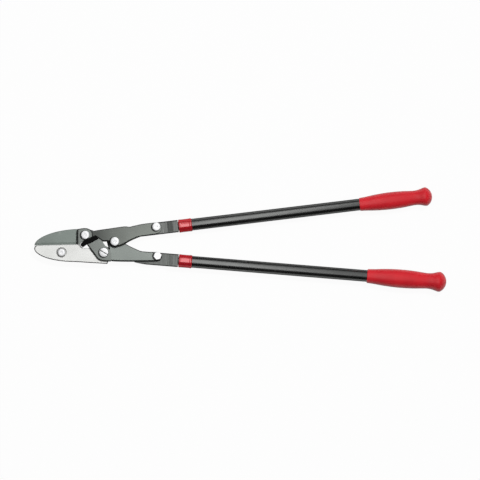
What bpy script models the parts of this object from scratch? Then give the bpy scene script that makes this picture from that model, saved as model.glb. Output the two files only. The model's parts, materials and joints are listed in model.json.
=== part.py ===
"""Two-handed anvil lopper with a compound linkage, modelled at its real size.

The tool lies flat: +X runs from the head to the grips, +Y is the side of the upper handle
and +Z points out of the front face. Sizes are in millimetres in the tables below and turned
into metres by MM. Plan positions are measured from the main pivot, and the finished part is
moved so that its origin is the bottom centre of its box.
"""
import math

import bmesh
import bpy
from mathutils import Matrix, Vector
from mathutils.geometry import tessellate_polygon

MM = 0.001

# Clearances
GAP = 0.3                      # between pieces that touch or stay clamped together
RUNNING_GAP = 0.4              # between plates that turn on each other
HOLE_CLEARANCE = 0.3           # radial, round every bolt

# Pivots and bolts in plan, from the main pivot
MAIN_PIVOT = (0.0, 0.0)
BLADE_PIVOT = (-37.2, 34.8)
HANDLE_PIVOT = (22.0, 22.0)
RIVET_PIVOT = (54.4, -2.0)
ANVIL_BOLT = (-84.6, -0.2)
UPPER_NECK_BOLT = (105.2, 51.4)
LOWER_NECK_BOLT = (107.6, -6.8)

# Shoulders: bevels round the outer edges of the plates
LEVER_SHOULDER = 2.0           # front face of the levers and necks
LINK_SHOULDER = 1.6            # outer face of the links
WIDE = 1.6                     # share of the bevel on the lower edges
NARROW = 0.7                   # share on the upper edges of the levers
BLADE_SHOULDER = 1.3
JAW_SHOULDER = 1.8             # round both faces of the jaw
HIDDEN_SHOULDER = 0.6          # inner faces
CLOSE_POINTS = 0.8             # outline points nearer than this are one
SPACER_RADIUS = 11.0

# Plate thicknesses, stacked from the middle plane outwards
MIDDLE_THICKNESS = 4.4         # blade and lower lever
LEVER_THICKNESS = 4.8          # upper lever, in front of the middle plates
LINK_THICKNESS = 4.0           # front and back links, outermost
ARM_THICKNESS = 4.0            # steel arm behind the anvil jaw
NECK_THICKNESS = 4.6

# Blade
TIP_X = -138.8
CUT_RIGHT = (-50.0, 15.8)      # heel end of the cutting line
CUT_SLOPE = 1.27               # degrees, rising towards the pivots
BLADE_RISE = 30.0              # of the back of the blade above the cutting line
BLADE_BACK_SLOPE = 2.8
BLADE_BACK_POWER = 0.54        # 0.5 is an ellipse; more is leaner at the tip
BLADE_HEEL_X = -52.2           # where the links begin
BLADE_BOSS = 13.4
TAIL_HALF_WIDTH = 8.5
GRIND_HEIGHT = 4.6             # width of the ground bevel along the cutting edge
EDGE_FLAT = 0.8                # thickness left at the cutting edge

# Links
LINK_HEEL_X = -53.4
LINK_HEEL = [(LINK_HEEL_X, 17.8), (LINK_HEEL_X, 45.6)]
LINK_BOSS = [
    (-51.0, 46.6), (-46.0, 47.7), (-39.6, 48.4), (-33.6, 48.0), (-28.4, 46.0), (-24.4, 42.4),
    (-22.4, 37.6), (-22.6, 31.0),
]                              # curve over the blade pivot
LINK_RIGHT = [(-13.6, 28.8), (-9.0, 28.6), (-5.6, 26.0), (3.4, 12.6)]
LINK_FOOT = [
    (8.4, 7.8), (12.8, 3.6), (14.4, -2.0), (14.6, -18.3), (9.4, -18.6), (1.4, -18.0),
    (-2.6, -17.6), (-6.6, -16.6), (-10.6, -14.8), (-13.2, -12.4),
]                              # squarish end that covers the end of the lower lever
LINK_LEFT = [(-32.6, 13.6), (-36.4, 20.6), (-40.6, 22.4), (-44.9, 19.6), (-48.2, 14.9)]

# Upper and lower levers
LEVER_BOSS = 12.6
UPPER_TOP = [
    (-20.0, 43.0), (-6.6, 45.2), (13.4, 48.0), (33.4, 50.9), (40.4, 51.7), (45.4, 51.7),
    (49.4, 51.1), (53.4, 51.4), (57.4, 52.5), (65.4, 54.2), (73.4, 56.0), (83.4, 57.6), (93.4, 58.7),
]
UPPER_BOTTOM = [
    (94.0, 36.0), (83.4, 33.8), (73.4, 31.0), (63.4, 27.2), (53.4, 22.6), (43.4, 16.9), (34.6, 12.6),
]
UPPER_INNER = [(6.0, 21.3), (-3.0, 21.3), (-16.0, 30.6), (-24.6, 31.0)]
LOWER_TOP = [
    (40.0, 19.8), (46.4, 15.4), (53.4, 11.6), (63.4, 7.0), (73.4, 2.8), (83.4, 1.2), (94.0, 0.8),
]
LOWER_BOTTOM = [
    (98.0, -18.5), (84.0, -18.8), (66.0, -19.0), (40.0, -18.9), (22.0, -18.4), (16.0, -17.9),
]
LOWER_INNER = [(13.2, -15.4), (12.8, -6.0), (12.4, 4.0), (9.0, 10.0)]
LEVER_FRONT_BOSS = 13.6
UPPER_END_CENTRE = (104.6, 48.8)
UPPER_END_RADIUS = 11.0
LOWER_BOSS = 16.0
LOWER_END_CENTRE = (107.2, -8.6)
LOWER_END_RADIUS = 9.2

# Anvil
JAW_THICKNESS = 13.8
JAW_FRONT_Z = 7.0
JAW_TOP_RIGHT = 8.4            # upper edge of the jaw behind the links
JAW_SEAT = [(-48.4, 14.9), (-42.3, 9.3)]  # sloped shoulder that the buffer lands on
JAW_BOTTOM_RIGHT = (8.2, -23.2)
JAW_BELLY = 27.2
JAW_BELLY_LENGTH = 80.0
JAW_BOSS = 12.4
COUNTERBORE_RADIUS = 10.4
COUNTERBORE_DEPTH = 3.6
ARM_PIVOT_BOSS = 13.0
ARM_END_RADIUS = 9.0
ARM_FRONT_RADIUS = 12.0
ARM_WAIST_X = 30.0             # between the pivot and the rivet
ARM_WAIST = (6.6, -10.6)       # its upper and lower edge there
ARM_LOWER = [(-40.0, -14.0), (-66.0, -17.6)]
ARM_UPPER = [(-60.0, 3.4), (-24.0, 3.4)]
RIVET_TRAVEL = 2.4             # the rivet's path in its slot, outwards along the arm
RIVET_SIDE_CLEARANCE = 0.8

# Fasteners
PIVOT_SHANK = 5.0
NECK_SHANK = 4.0
RIVET_SHANK = 4.0
RIVET_SKIN = 1.0               # of the lower lever in front of the rivet
HEAD_HEIGHT = 4.6
NUT_HEIGHT = 5.6
THREAD_END = 0.8               # bolt end past its nut
MAIN_HEAD_RADIUS = 9.7
MAIN_HEAD_HEIGHT = 5.0
SLOT_WIDTH = 1.9
SLOT_DEPTH = 1.8
SLOT_TURN = -31.0              # degrees
BLADE_HEAD_RADIUS = 8.2
HANDLE_HEAD_RADIUS = 8.6
ANVIL_HEAD_RADIUS = 7.4
UPPER_NECK_HEAD_RADIUS = 8.2
LOWER_NECK_HEAD_RADIUS = 8.4
PIVOT_NUT_RADIUS = 9.2         # across corners, halved
NECK_NUT_RADIUS = 7.8
RIVET_HEAD_RADIUS = 6.6
RIVET_HEAD_HEIGHT = 2.0

# Rubber buffer
BUFFER_POCKET = 2.0            # depth of its seat in the front link
BUFFER_PROUD = 1.4             # above the front link

# Handles
FERRULE_X = 149.2              # front face of the ferrules
UPPER_AXIS_AT_FERRULE = 52.1   # Y of the handle's axis there
LOWER_AXIS_AT_FERRULE = -16.8
UPPER_ANGLE = 6.85             # degrees from +X
LOWER_ANGLE = -4.63
UPPER_REACH = 511.0            # ferrule face to grip end, along the axis
LOWER_REACH = 537.6
TUBE_RADIUS = 11.75
TUBE_WALL = 1.5
FERRULE_LENGTH = 27.0
FERRULE_RADIUS = 13.2
FERRULE_LIP = 3.0
TANG_RADIUS = 9.6
TANG_LENGTH = 48.0
UPPER_NECK_HALF = 12.3
LOWER_NECK_HALF = 12.9
UPPER_NECK_SHIFT = 0.5         # sideways, off the tube's axis
LOWER_NECK_SHIFT = 0.0
NECK_RAMP_START = 22.0         # before the ferrule face
NECK_RAMP_END = 11.0
NECK_ROOT_HALF = 6.4           # half thickness where the neck meets the ferrule
UPPER_NECK_LENGTH = 90.0
LOWER_NECK_LENGTH = 90.0
UPPER_NECK_TIP = [(14.0, 14.3), (2.0, 2.0), (8.0, -14.3)]
LOWER_NECK_TIP = [
    (21.0, 15.4), (10.0, -1.0), (1.2, -7.2), (0.8, -8.8), (2.8, -10.2), (6.8, -11.1),
    (10.9, -11.5), (19.0, -12.4), (27.0, -12.9), (40.0, -13.6),
]                              # distance from the neck's end, offset across it
UPPER_GRIP_LENGTH = 146.0
LOWER_GRIP_SCALE = 1.07        # the lower grip is a little larger all over
LOWER_GRIP_LENGTH = 159.0
GRIP_END_WALL = 5.0
GRIP_PROFILE = [
    (0.0, 12.9), (0.04, 13.4), (0.08, 13.8), (0.15, 14.9), (0.22, 15.9), (0.29, 16.6),
    (0.36, 17.1), (0.43, 17.2), (0.50, 17.05), (0.565, 16.7), (0.635, 16.0), (0.70, 15.1),
    (0.77, 14.6), (0.84, 16.1), (0.89, 18.1), (0.912, 18.7), (0.928, 18.2), (0.955, 15.4),
    (0.98, 10.8), (0.993, 6.0),
]                              # share of the grip's length, radius

ROUND_STEPS = 32

MIDDLE_HALF = MIDDLE_THICKNESS / 2
LEVER_Z = (MIDDLE_HALF + RUNNING_GAP, MIDDLE_HALF + RUNNING_GAP + LEVER_THICKNESS)
FRONT_LINK_Z = (LEVER_Z[1] + RUNNING_GAP, LEVER_Z[1] + RUNNING_GAP + LINK_THICKNESS)
ARM_Z = (-MIDDLE_HALF - RUNNING_GAP - ARM_THICKNESS, -MIDDLE_HALF - RUNNING_GAP)
BACK_LINK_Z = (ARM_Z[0] - RUNNING_GAP - LINK_THICKNESS, ARM_Z[0] - RUNNING_GAP)
LOWER_NECK_Z = (-MIDDLE_HALF - GAP - NECK_THICKNESS, -MIDDLE_HALF - GAP)
UPPER_NECK_Z = (LEVER_Z[0] - GAP - NECK_THICKNESS, LEVER_Z[0] - GAP)


def cut_line(x):
    """Height of the cutting edge at x."""
    return CUT_RIGHT[1] + (x - CUT_RIGHT[0]) * math.tan(math.radians(CUT_SLOPE))


def polar(centre, radius, degrees):
    """Point at an angle on a circle."""
    turn = math.radians(degrees)
    return (centre[0] + radius * math.cos(turn), centre[1] + radius * math.sin(turn))


def arc(centre, radius, start, end, steps=None):
    """Points along an arc, from start to end in degrees."""
    if steps is None:
        steps = max(2, round(abs(end - start) / 12))
    return [polar(centre, radius, start + (end - start) * i / steps) for i in range(steps + 1)]


def circle(centre, radius, steps=ROUND_STEPS):
    """Points round a whole circle."""
    return [polar(centre, radius, 360 * i / steps) for i in range(steps)]


def smooth(points, steps=4):
    """Points of an even curve through the given ones, by Catmull and Rom's rule."""
    padded = [points[0]] + list(points) + [points[-1]]
    result = []
    for i in range(1, len(padded) - 2):
        p0, p1, p2, p3 = (Vector(padded[i + k]) for k in (-1, 0, 1, 2))
        for k in range(steps):
            t = k / steps
            point = 0.5 * (2 * p1 + (p2 - p0) * t + (2 * p0 - 5 * p1 + 4 * p2 - p3) * t * t
                           + (3 * p1 - p0 - 3 * p2 + p3) * t ** 3)
            result.append((point.x, point.y))
    result.append(tuple(points[-1]))
    return result


def link_direction():
    """Unit vector from the blade pivot to the main pivot, and its left-hand normal."""
    along = (Vector(MAIN_PIVOT) - Vector(BLADE_PIVOT)).normalized()
    return along, Vector((along.y, -along.x))


def offset_from_link(share, distance):
    """Point beside the line from the blade pivot to the main pivot, down-left when positive."""
    along, normal = link_direction()
    base = Vector(BLADE_PIVOT).lerp(Vector(MAIN_PIVOT), share)
    point = base + normal * distance
    return (point.x, point.y)


# Scene and collections

def clear_scene():
    """Removes whatever the file holds."""
    for old in list(bpy.data.objects):
        bpy.data.objects.remove(old, do_unlink=True)
    for old in list(bpy.data.collections):
        bpy.data.collections.remove(old)


def new_collection(name):
    """Adds a collection to the scene."""
    group = bpy.data.collections.new(name)
    bpy.context.scene.collection.children.link(group)
    return group


def make_material(name, colour, roughness, metallic):
    """Plain surface with the piece's colour."""
    material = bpy.data.materials.new(name)
    material.use_nodes = True
    shader = material.node_tree.nodes["Principled BSDF"]
    shader.inputs["Base Color"].default_value = (*colour, 1.0)
    shader.inputs["Roughness"].default_value = roughness
    shader.inputs["Metallic"].default_value = metallic
    return material


clear_scene()
LOPPER = new_collection("lopper")
CUTTERS = new_collection("cutters")
FRAME = bpy.data.objects.new("lopper_frame", None)
LOPPER.objects.link(FRAME)

COATED_STEEL = make_material("coated_steel", (0.24, 0.26, 0.26), 0.45, 0.6)
LEVER_STEEL = make_material("lever_steel", (0.20, 0.22, 0.22), 0.5, 0.6)
ANVIL_ALUMINIUM = make_material("anvil_aluminium", (0.78, 0.78, 0.77), 0.35, 0.9)
BRIGHT_ZINC = make_material("bright_zinc", (0.86, 0.86, 0.87), 0.25, 1.0)
NECK_STEEL = make_material("neck_steel", (0.25, 0.25, 0.24), 0.45, 0.6)
BLACK_PAINT = make_material("black_paint", (0.012, 0.013, 0.014), 0.2, 0.0)
RED_LACQUER = make_material("red_lacquer", (0.55, 0.02, 0.03), 0.2, 0.0)
RED_VINYL = make_material("red_vinyl", (0.6, 0.015, 0.03), 0.45, 0.0)
BLACK_RUBBER = make_material("black_rubber", (0.01, 0.01, 0.01), 0.7, 0.0)


def add_pivot(name, place, parent):
    """Adds an empty on a joint's axis."""
    empty = bpy.data.objects.new(name, None)
    LOPPER.objects.link(empty)
    empty.parent = parent
    empty.location = (place[0] * MM, place[1] * MM, 0.0)
    parent_place = Vector((0.0, 0.0, 0.0))
    step = parent
    while step is not None and step != FRAME:
        parent_place += step.location
        step = step.parent
    empty.location -= parent_place
    return empty


UPPER_BODY = add_pivot("upper_handle_pivot", HANDLE_PIVOT, FRAME)
BLADE_BODY = add_pivot("blade_pivot", BLADE_PIVOT, UPPER_BODY)
ANVIL_BODY = add_pivot("anvil_pivot", MAIN_PIVOT, BLADE_BODY)
bpy.context.view_layer.update()


# Mesh helpers

def add_object(name, mesh, body, material):
    """Places a mesh, given in the frame of the whole tool, under its body."""
    obj = bpy.data.objects.new(name, mesh)
    LOPPER.objects.link(obj)
    obj.parent = body
    obj.matrix_parent_inverse = body.matrix_world.inverted()
    mesh.materials.clear()
    mesh.materials.append(material)
    return obj


def extruded_mesh(name, loops, low, high):
    """Flat outline with holes, as a filled curve, turned into a welded mesh."""
    curve = bpy.data.curves.new(name + "_outline", "CURVE")
    curve.dimensions = "2D"
    curve.fill_mode = "BOTH"
    curve.extrude = (high - low) / 2 * MM
    for loop in loops:
        spline = curve.splines.new("POLY")
        spline.points.add(len(loop) - 1)
        for point, (x, y) in zip(spline.points, loop):
            point.co = (x * MM, y * MM, 0.0, 1.0)
        spline.use_cyclic_u = True
    guide = bpy.data.objects.new(name + "_outline", curve)
    CUTTERS.objects.link(guide)
    bpy.context.view_layer.update()
    evaluated = guide.evaluated_get(bpy.context.evaluated_depsgraph_get())
    mesh = bpy.data.meshes.new_from_object(evaluated)
    mesh.transform(Matrix.Translation((0.0, 0.0, (low + high) / 2 * MM)))
    work = bmesh.new()
    work.from_mesh(mesh)
    bmesh.ops.remove_doubles(work, verts=work.verts, dist=0.00001)
    bmesh.ops.recalc_face_normals(work, faces=work.faces)
    work.to_mesh(mesh)
    work.free()
    bpy.data.objects.remove(guide, do_unlink=True)
    bpy.data.curves.remove(curve)
    mesh.name = name
    return mesh


def add_cutter(name, loops, low, high):
    """Extruded shape that only cuts."""
    mesh = extruded_mesh(name, loops, low, high)
    cutter = bpy.data.objects.new(name, mesh)
    CUTTERS.objects.link(cutter)
    cutter.parent = FRAME
    cutter.hide_render = True
    cutter.display_type = "WIRE"
    return cutter


def add_boolean(obj, cutter, operation="DIFFERENCE"):
    """Cuts or joins with another object."""
    modifier = obj.modifiers.new(operation.lower(), "BOOLEAN")
    modifier.operation = operation
    modifier.solver = "EXACT"
    modifier.object = cutter
    return modifier


def add_chamfer(obj, width):
    """Small bevel on every sharp edge."""
    modifier = obj.modifiers.new("chamfer", "BEVEL")
    modifier.width = width * MM
    modifier.segments = 1
    modifier.limit_method = "ANGLE"
    modifier.angle_limit = math.radians(50)
    return modifier


def add_plate(name, loops, levels, body, material, chamfer=0.5):
    """Flat plate between two heights."""
    obj = add_object(name, extruded_mesh(name, loops, *levels), body, material)
    if chamfer:
        add_chamfer(obj, chamfer)
    return obj


def spaced(loop):
    """Outline without points that nearly coincide with the one before."""
    kept = []
    for point in loop:
        if not kept or math.dist(point, kept[-1]) > CLOSE_POINTS:
            kept.append(point)
    if math.dist(kept[0], kept[-1]) < CLOSE_POINTS:
        kept.pop()
    return kept


def inset_loop(loop, widths):
    """Outline moved inwards, edge by edge, with edges that would turn over left out.

    The result has one point for each point of the outline, so points may coincide.
    """
    points = [Vector(p) for p in loop]
    count = len(points)
    area = sum(p.cross(q) for p, q in zip(points, points[1:] + points[:1]))
    sign = 1.0 if area > 0 else -1.0
    steps = [(points[(i + 1) % count] - points[i]).normalized() for i in range(count)]
    starts = [points[i] + Vector((-steps[i].y, steps[i].x)) * sign * widths[i] for i in range(count)]
    alive = list(range(count))

    def corner(before, after, near):
        """Where two moved edges meet."""
        turn = steps[before].cross(steps[after])
        if abs(turn) < 0.02:
            sides = [starts[e] + steps[e] * (near - starts[e]).dot(steps[e]) for e in (before, after)]
            return (sides[0] + sides[1]) / 2
        reach = (starts[after] - starts[before]).cross(steps[after]) / turn
        return starts[before] + steps[before] * reach

    while True:
        ends = []
        for k, edge in enumerate(alive):
            before, after = alive[k - 1], alive[(k + 1) % len(alive)]
            near = points[(edge + 1) % count]
            ends.append((corner(edge, after, near) - corner(before, edge, points[edge])).dot(steps[edge]))
        worst = min(range(len(alive)), key=lambda k: ends[k])
        if ends[worst] > 0.001:
            break
        alive.pop(worst)
    result = []
    for i in range(count):
        before = max((e for e in alive if e < i), default=alive[-1])
        after = min((e for e in alive if e >= i), default=alive[0])
        place = corner(before, after, points[i])
        result.append((place.x, place.y))
    return result


def shouldered_mesh(name, loops, low, high, low_width, high_width, share):
    """Plate with holes whose outer edges are bevelled, lofted from its outline and its insets."""
    outline = spaced(loops[0])
    count = len(outline)
    shares = [min(share(outline[i]), share(outline[(i + 1) % count])) for i in range(count)]
    bottom = inset_loop(outline, [low_width * k for k in shares])
    top = inset_loop(outline, [high_width * k for k in shares])
    levels = [(low, bottom), (low + low_width, outline), (high - high_width, outline), (high, top)]
    work = bmesh.new()

    def ring(points, z):
        """Vertices of one outline at one height."""
        return [work.verts.new((x * MM, y * MM, z * MM)) for x, y in points]

    rings = [ring(points, z) for z, points in levels]
    for first, second in zip(rings, rings[1:]):
        for i in range(count):
            k = (i + 1) % count
            work.faces.new((first[i], first[k], second[k], second[i]))
    holes = [(ring(loop, low), ring(loop, high)) for loop in loops[1:]]
    for first, second in holes:
        for i in range(len(first)):
            k = (i + 1) % len(first)
            work.faces.new((first[i], first[k], second[k], second[i]))
    for cap, side in ((rings[0], 0), (rings[-1], 1)):
        borders = [cap] + [pair[side] for pair in holes]
        flat = [vert for border in borders for vert in border]
        for corners in tessellate_polygon([[vert.co for vert in border] for border in borders]):
            work.faces.new([flat[i] for i in corners])
    bmesh.ops.remove_doubles(work, verts=work.verts, dist=0.000002)
    bmesh.ops.dissolve_degenerate(work, dist=0.000002, edges=work.edges)
    bmesh.ops.recalc_face_normals(work, faces=work.faces)
    mesh = bpy.data.meshes.new(name)
    work.to_mesh(mesh)
    work.free()
    return mesh


def all_round(_point):
    """Full bevel everywhere."""
    return 1.0


def add_shouldered_plate(name, loops, levels, body, material, low_width, high_width, share=all_round):
    """Plate whose outer edges carry bevels, with their own width on each face.

    share takes a point of the outline and gives the part of the bevel's width there.
    """
    mesh = shouldered_mesh(name, loops, *levels, low_width, high_width, share)
    return add_object(name, mesh, body, material)


def turned_mesh(name, profile, steps=ROUND_STEPS):
    """Solid of revolution about Z from (height, radius) points, closed at both ends."""
    work = bmesh.new()
    verts = [work.verts.new((radius * MM, 0.0, height * MM)) for height, radius in profile]
    for first, second in zip(verts, verts[1:]):
        work.edges.new((first, second))
    mesh = bpy.data.meshes.new(name)
    work.to_mesh(mesh)
    work.free()
    holder = bpy.data.objects.new(name + "_profile", mesh)
    CUTTERS.objects.link(holder)
    screw = holder.modifiers.new("turn", "SCREW")
    screw.axis = "Z"
    screw.steps = steps
    screw.render_steps = steps
    screw.use_merge_vertices = True
    screw.merge_threshold = 0.000001
    screw.use_normal_calculate = True
    bpy.context.view_layer.update()
    evaluated = holder.evaluated_get(bpy.context.evaluated_depsgraph_get())
    turned = bpy.data.meshes.new_from_object(evaluated)
    bpy.data.objects.remove(holder, do_unlink=True)
    bpy.data.meshes.remove(mesh)
    work = bmesh.new()
    work.from_mesh(turned)
    bmesh.ops.remove_doubles(work, verts=work.verts, dist=0.000002)
    bmesh.ops.recalc_face_normals(work, faces=work.faces)
    work.to_mesh(turned)
    work.free()
    turned.name = name
    for face in turned.polygons:
        face.use_smooth = True
    turned.set_sharp_from_angle(angle=math.radians(35))
    return turned


def handle_matrix(axis_y, angle):
    """Frame of a handle: its Z runs from the ferrule's front face along the tube."""
    along = Vector((math.cos(math.radians(angle)), math.sin(math.radians(angle)), 0.0))
    front = Vector((0.0, 0.0, 1.0))
    side = along.cross(front)
    matrix = Matrix((front, side, along)).transposed().to_4x4()
    matrix.translation = Vector((FERRULE_X * MM, axis_y * MM, 0.0))
    return matrix


# Fasteners

def dome_head(radius, height):
    """Profile of a low domed head, from its rim to its crown."""
    return [(0.0, radius - 0.4), (0.4, radius), (height * 0.62, radius),
            (height * 0.85, radius * 0.86), (height * 0.97, radius * 0.55), (height, 0.0)]


def add_round_bolt(name, place, seat, height, radius, shank, tip, body):
    """Bolt with a domed head above seat and a shank down to tip."""
    profile = [(tip, 0.0), (tip, shank - 0.6), (tip + 0.6, shank), (seat, shank)]
    profile += [(seat + h, r) for h, r in dome_head(radius, height)]
    mesh = turned_mesh(name, profile)
    mesh.transform(Matrix.Translation((place[0] * MM, place[1] * MM, 0.0)))
    return add_object(name, mesh, body, BRIGHT_ZINC)


def hexagon(place, radius, turn=0.0):
    """Corners of a hexagon."""
    return [polar(place, radius, turn + 60 * i) for i in range(6)]


def add_hex_bolt(name, place, seat, height, radius, shank, tip, body):
    """Hexagon bolt: its head joined to a turned shank."""
    bolt = add_object(name, extruded_mesh(name, [hexagon(place, radius, 12.0)], seat, seat + height),
                      body, BRIGHT_ZINC)
    add_chamfer(bolt, 0.7)
    profile = [(tip, 0.0), (tip, shank - 0.6), (tip + 0.6, shank),
               (seat + height / 2, shank), (seat + height / 2, 0.0)]
    mesh = turned_mesh(name + "_shank", profile)
    mesh.transform(Matrix.Translation((place[0] * MM, place[1] * MM, 0.0)))
    shank_tool = bpy.data.objects.new(name + "_shank", mesh)
    CUTTERS.objects.link(shank_tool)
    shank_tool.parent = FRAME
    shank_tool.hide_render = True
    shank_tool.display_type = "WIRE"
    add_boolean(bolt, shank_tool, "UNION")
    return bolt


def add_nut(name, place, seat, height, radius, shank, body, turn=0.0):
    """Hexagon nut hanging below seat."""
    loops = [hexagon(place, radius, turn), circle(place, shank + HOLE_CLEARANCE)]
    return add_plate(name, loops, (seat - height, seat), body, BRIGHT_ZINC, chamfer=0.6)


def bolt_stack(stem, place, top, bottom, head, shank, nut_radius, body, hexagonal=False,
               height=HEAD_HEIGHT, turn=0.0):
    """Bolt from the front face at top and a nut against the back face at bottom."""
    seat = top + GAP
    tip = bottom - GAP - NUT_HEIGHT - THREAD_END
    maker = add_hex_bolt if hexagonal else add_round_bolt
    bolt = maker(stem + "_bolt", place, seat, height, head, shank, tip, body)
    add_nut(stem + "_nut", place, bottom - GAP, NUT_HEIGHT, nut_radius, shank, body, turn)
    return bolt


def hole(place, shank):
    """Hole for a bolt."""
    return circle(place, shank + HOLE_CLEARANCE)


# Cutting head

def blade_back():
    """Back of the blade: a quarter ellipse on a gentle slope, from the tip to the links."""
    length = BLADE_HEEL_X - TIP_X
    points = []
    for i in range(1, 17):
        share = 1 - math.cos(math.pi / 2 * i / 16)
        rise = BLADE_RISE * (1 - (1 - share) ** 2) ** BLADE_BACK_POWER + BLADE_BACK_SLOPE * share
        points.append((TIP_X + length * share, cut_line(TIP_X) + rise))
    return points


def on_blade_back(point):
    """1 on the back of the blade, 0 on its cutting edge and its tail."""
    x, y = point
    if x < BLADE_HEEL_X:
        return 1.0 if y > cut_line(x) + 1.0 else 0.0
    return 1.0 if y > BLADE_PIVOT[1] + 6.0 else 0.0


def add_blade():
    """Cutting blade with its tail, ground to an edge on both sides."""
    outline = [(TIP_X, cut_line(TIP_X))]
    outline += blade_back()
    outline += arc(BLADE_PIVOT, BLADE_BOSS, 95, 45)
    outline.append(offset_from_link(0.55, -TAIL_HALF_WIDTH))
    outline += arc(MAIN_PIVOT, TAIL_HALF_WIDTH, 47, -133)
    outline += [offset_from_link(0.22, TAIL_HALF_WIDTH + 0.6), (-46.6, 25.0), (-50.4, 20.4),
                (CUT_RIGHT[0] - 0.8, CUT_RIGHT[1])]
    loops = [outline, hole(BLADE_PIVOT, PIVOT_SHANK), hole(MAIN_PIVOT, PIVOT_SHANK)]
    blade = add_shouldered_plate("blade", loops, (-MIDDLE_HALF, MIDDLE_HALF), BLADE_BODY, COATED_STEEL,
                                 BLADE_SHOULDER, BLADE_SHOULDER, on_blade_back)
    for side, name in ((1, "grind_front"), (-1, "grind_back")):
        grind = grind_wedge(name, side)
        add_boolean(blade, grind)
    return blade


def grind_wedge(name, side):
    """Wedge that cuts the ground bevel along the cutting edge on one side."""
    left, right = TIP_X - 20, BLADE_HEEL_X + 1.0
    work = bmesh.new()
    low, high = -3.0, GRIND_HEIGHT
    thick = MIDDLE_HALF + 2.0
    slope = (MIDDLE_HALF - EDGE_FLAT / 2) / GRIND_HEIGHT
    section = [(low, EDGE_FLAT / 2 + low * slope), (high, MIDDLE_HALF), (high, thick), (low, thick)]
    rings = []
    for x in (left, right):
        rings.append([work.verts.new((x * MM, (cut_line(x) + y) * MM, side * z * MM))
                      for y, z in section])
    for ring in rings:
        work.faces.new(ring)
    for i in range(4):
        k = (i + 1) % 4
        work.faces.new((rings[0][i], rings[0][k], rings[1][k], rings[1][i]))
    bmesh.ops.recalc_face_normals(work, faces=work.faces)
    mesh = bpy.data.meshes.new(name)
    work.to_mesh(mesh)
    work.free()
    wedge = bpy.data.objects.new(name, mesh)
    CUTTERS.objects.link(wedge)
    wedge.parent = FRAME
    wedge.hide_render = True
    wedge.display_type = "WIRE"
    return wedge


def link_outline():
    """Outline of the two side links: a boss at each pivot and a notch for the buffer."""
    return LINK_HEEL + smooth(LINK_BOSS, 3) + LINK_RIGHT + LINK_FOOT + LINK_LEFT


def buffer_strip():
    """Plan of the rubber buffer's strip along the notch."""
    return [(-40.2, 23.6), (-16.4, 34.4), (-10.6, 29.4), (-11.6, 26.2), (-16.0, 24.2),
            (-24.0, 19.8), (-34.6, 14.9), (-41.8, 9.8), (-47.2, 14.4), (-44.4, 19.4)]


def buffer_heel():
    """Plan of the buffer's heel, which lands on the shoulder of the anvil jaw."""
    return [(-41.8, 9.8), (-47.2, 14.4), (-44.2, 18.8), (-40.2, 21.4), (-37.4, 19.4), (-34.4, 15.6)]


def grown(loop, distance):
    """The same outline moved outwards from its own middle, for a clearance."""
    middle = sum((Vector(p) for p in loop), Vector((0.0, 0.0))) / len(loop)
    result = []
    for point in loop:
        away = Vector(point) - middle
        result.append(tuple(middle + away * (1 + distance / away.length)))
    return result


def on_link_edge(point):
    """Share of the bevel on a link: wide on its left and lower edges, none beside the lever."""
    x, y = point
    if x < LINK_HEEL_X + 0.1:
        return WIDE
    if x > 2.0 and y > -18.2:
        return 0.0
    if y < 13.7 and x > -33.0:
        return WIDE
    return 1.0 if y > 27.5 or x > -31.0 else 0.2


def on_upper_lever(point):
    """Share of the bevel on the upper lever: wide below, narrow above, hardly any at its end."""
    x, y = point
    if x > 100.0:
        return 0.3
    return WIDE if y < 37.0 and x > -20.0 else NARROW


def on_lower_lever(point):
    """Share of the bevel on the lower lever: none where the links cover it."""
    x, y = point
    if x < 14.0 and y < 6.0:
        return 0.0
    return WIDE if y < -14.0 or x < 30.0 and y > 6.0 else NARROW


def on_jaw(point):
    """Share of the bevel on the jaw: full, apart from the sharp shoulder for the buffer."""
    x, y = point
    return 0.25 if -50.0 < x < -18.0 and y > 8.0 else 1.0


def add_links():
    """Front and back links, with the buffer's seat in the front one."""
    holes = [hole(BLADE_PIVOT, PIVOT_SHANK), hole(MAIN_PIVOT, PIVOT_SHANK)]
    front = add_shouldered_plate("front_link", [link_outline()] + holes, FRONT_LINK_Z, BLADE_BODY,
                                 LEVER_STEEL, HIDDEN_SHOULDER, LINK_SHOULDER, on_link_edge)
    seat = add_cutter("buffer_seat", [grown(buffer_strip(), 0.6)],
                      FRONT_LINK_Z[1] - BUFFER_POCKET, FRONT_LINK_Z[1] + 2.0)
    add_boolean(front, seat)
    add_shouldered_plate("back_link", [link_outline()] + holes, BACK_LINK_Z, BLADE_BODY, LEVER_STEEL,
                         LINK_SHOULDER, HIDDEN_SHOULDER, on_link_edge)


def add_buffer():
    """Rubber buffer: a strip seated in the front link and a heel that reaches the jaw."""
    base = FRONT_LINK_Z[1] - BUFFER_POCKET + GAP
    top = FRONT_LINK_Z[1] + BUFFER_PROUD
    heel = add_cutter("buffer_heel", [buffer_heel()], ARM_Z[0], (base + top) / 2)
    strip = add_plate("rubber_buffer", [buffer_strip()], (base, top), BLADE_BODY, BLACK_RUBBER, 0)
    add_boolean(strip, heel, "UNION")
    return strip


def add_blade_pivot():
    """Bolt through links, upper lever and blade, with the spacer behind the blade."""
    bolt_stack("blade", BLADE_PIVOT, FRONT_LINK_Z[1], BACK_LINK_Z[0], BLADE_HEAD_RADIUS, PIVOT_SHANK,
               PIVOT_NUT_RADIUS, BLADE_BODY, turn=8.0)
    loops = [circle(BLADE_PIVOT, SPACER_RADIUS), hole(BLADE_PIVOT, PIVOT_SHANK)]
    levels = (BACK_LINK_Z[1] + GAP, -MIDDLE_HALF - GAP)
    add_plate("blade_spacer", loops, levels, BLADE_BODY, BRIGHT_ZINC, 0.4)


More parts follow.
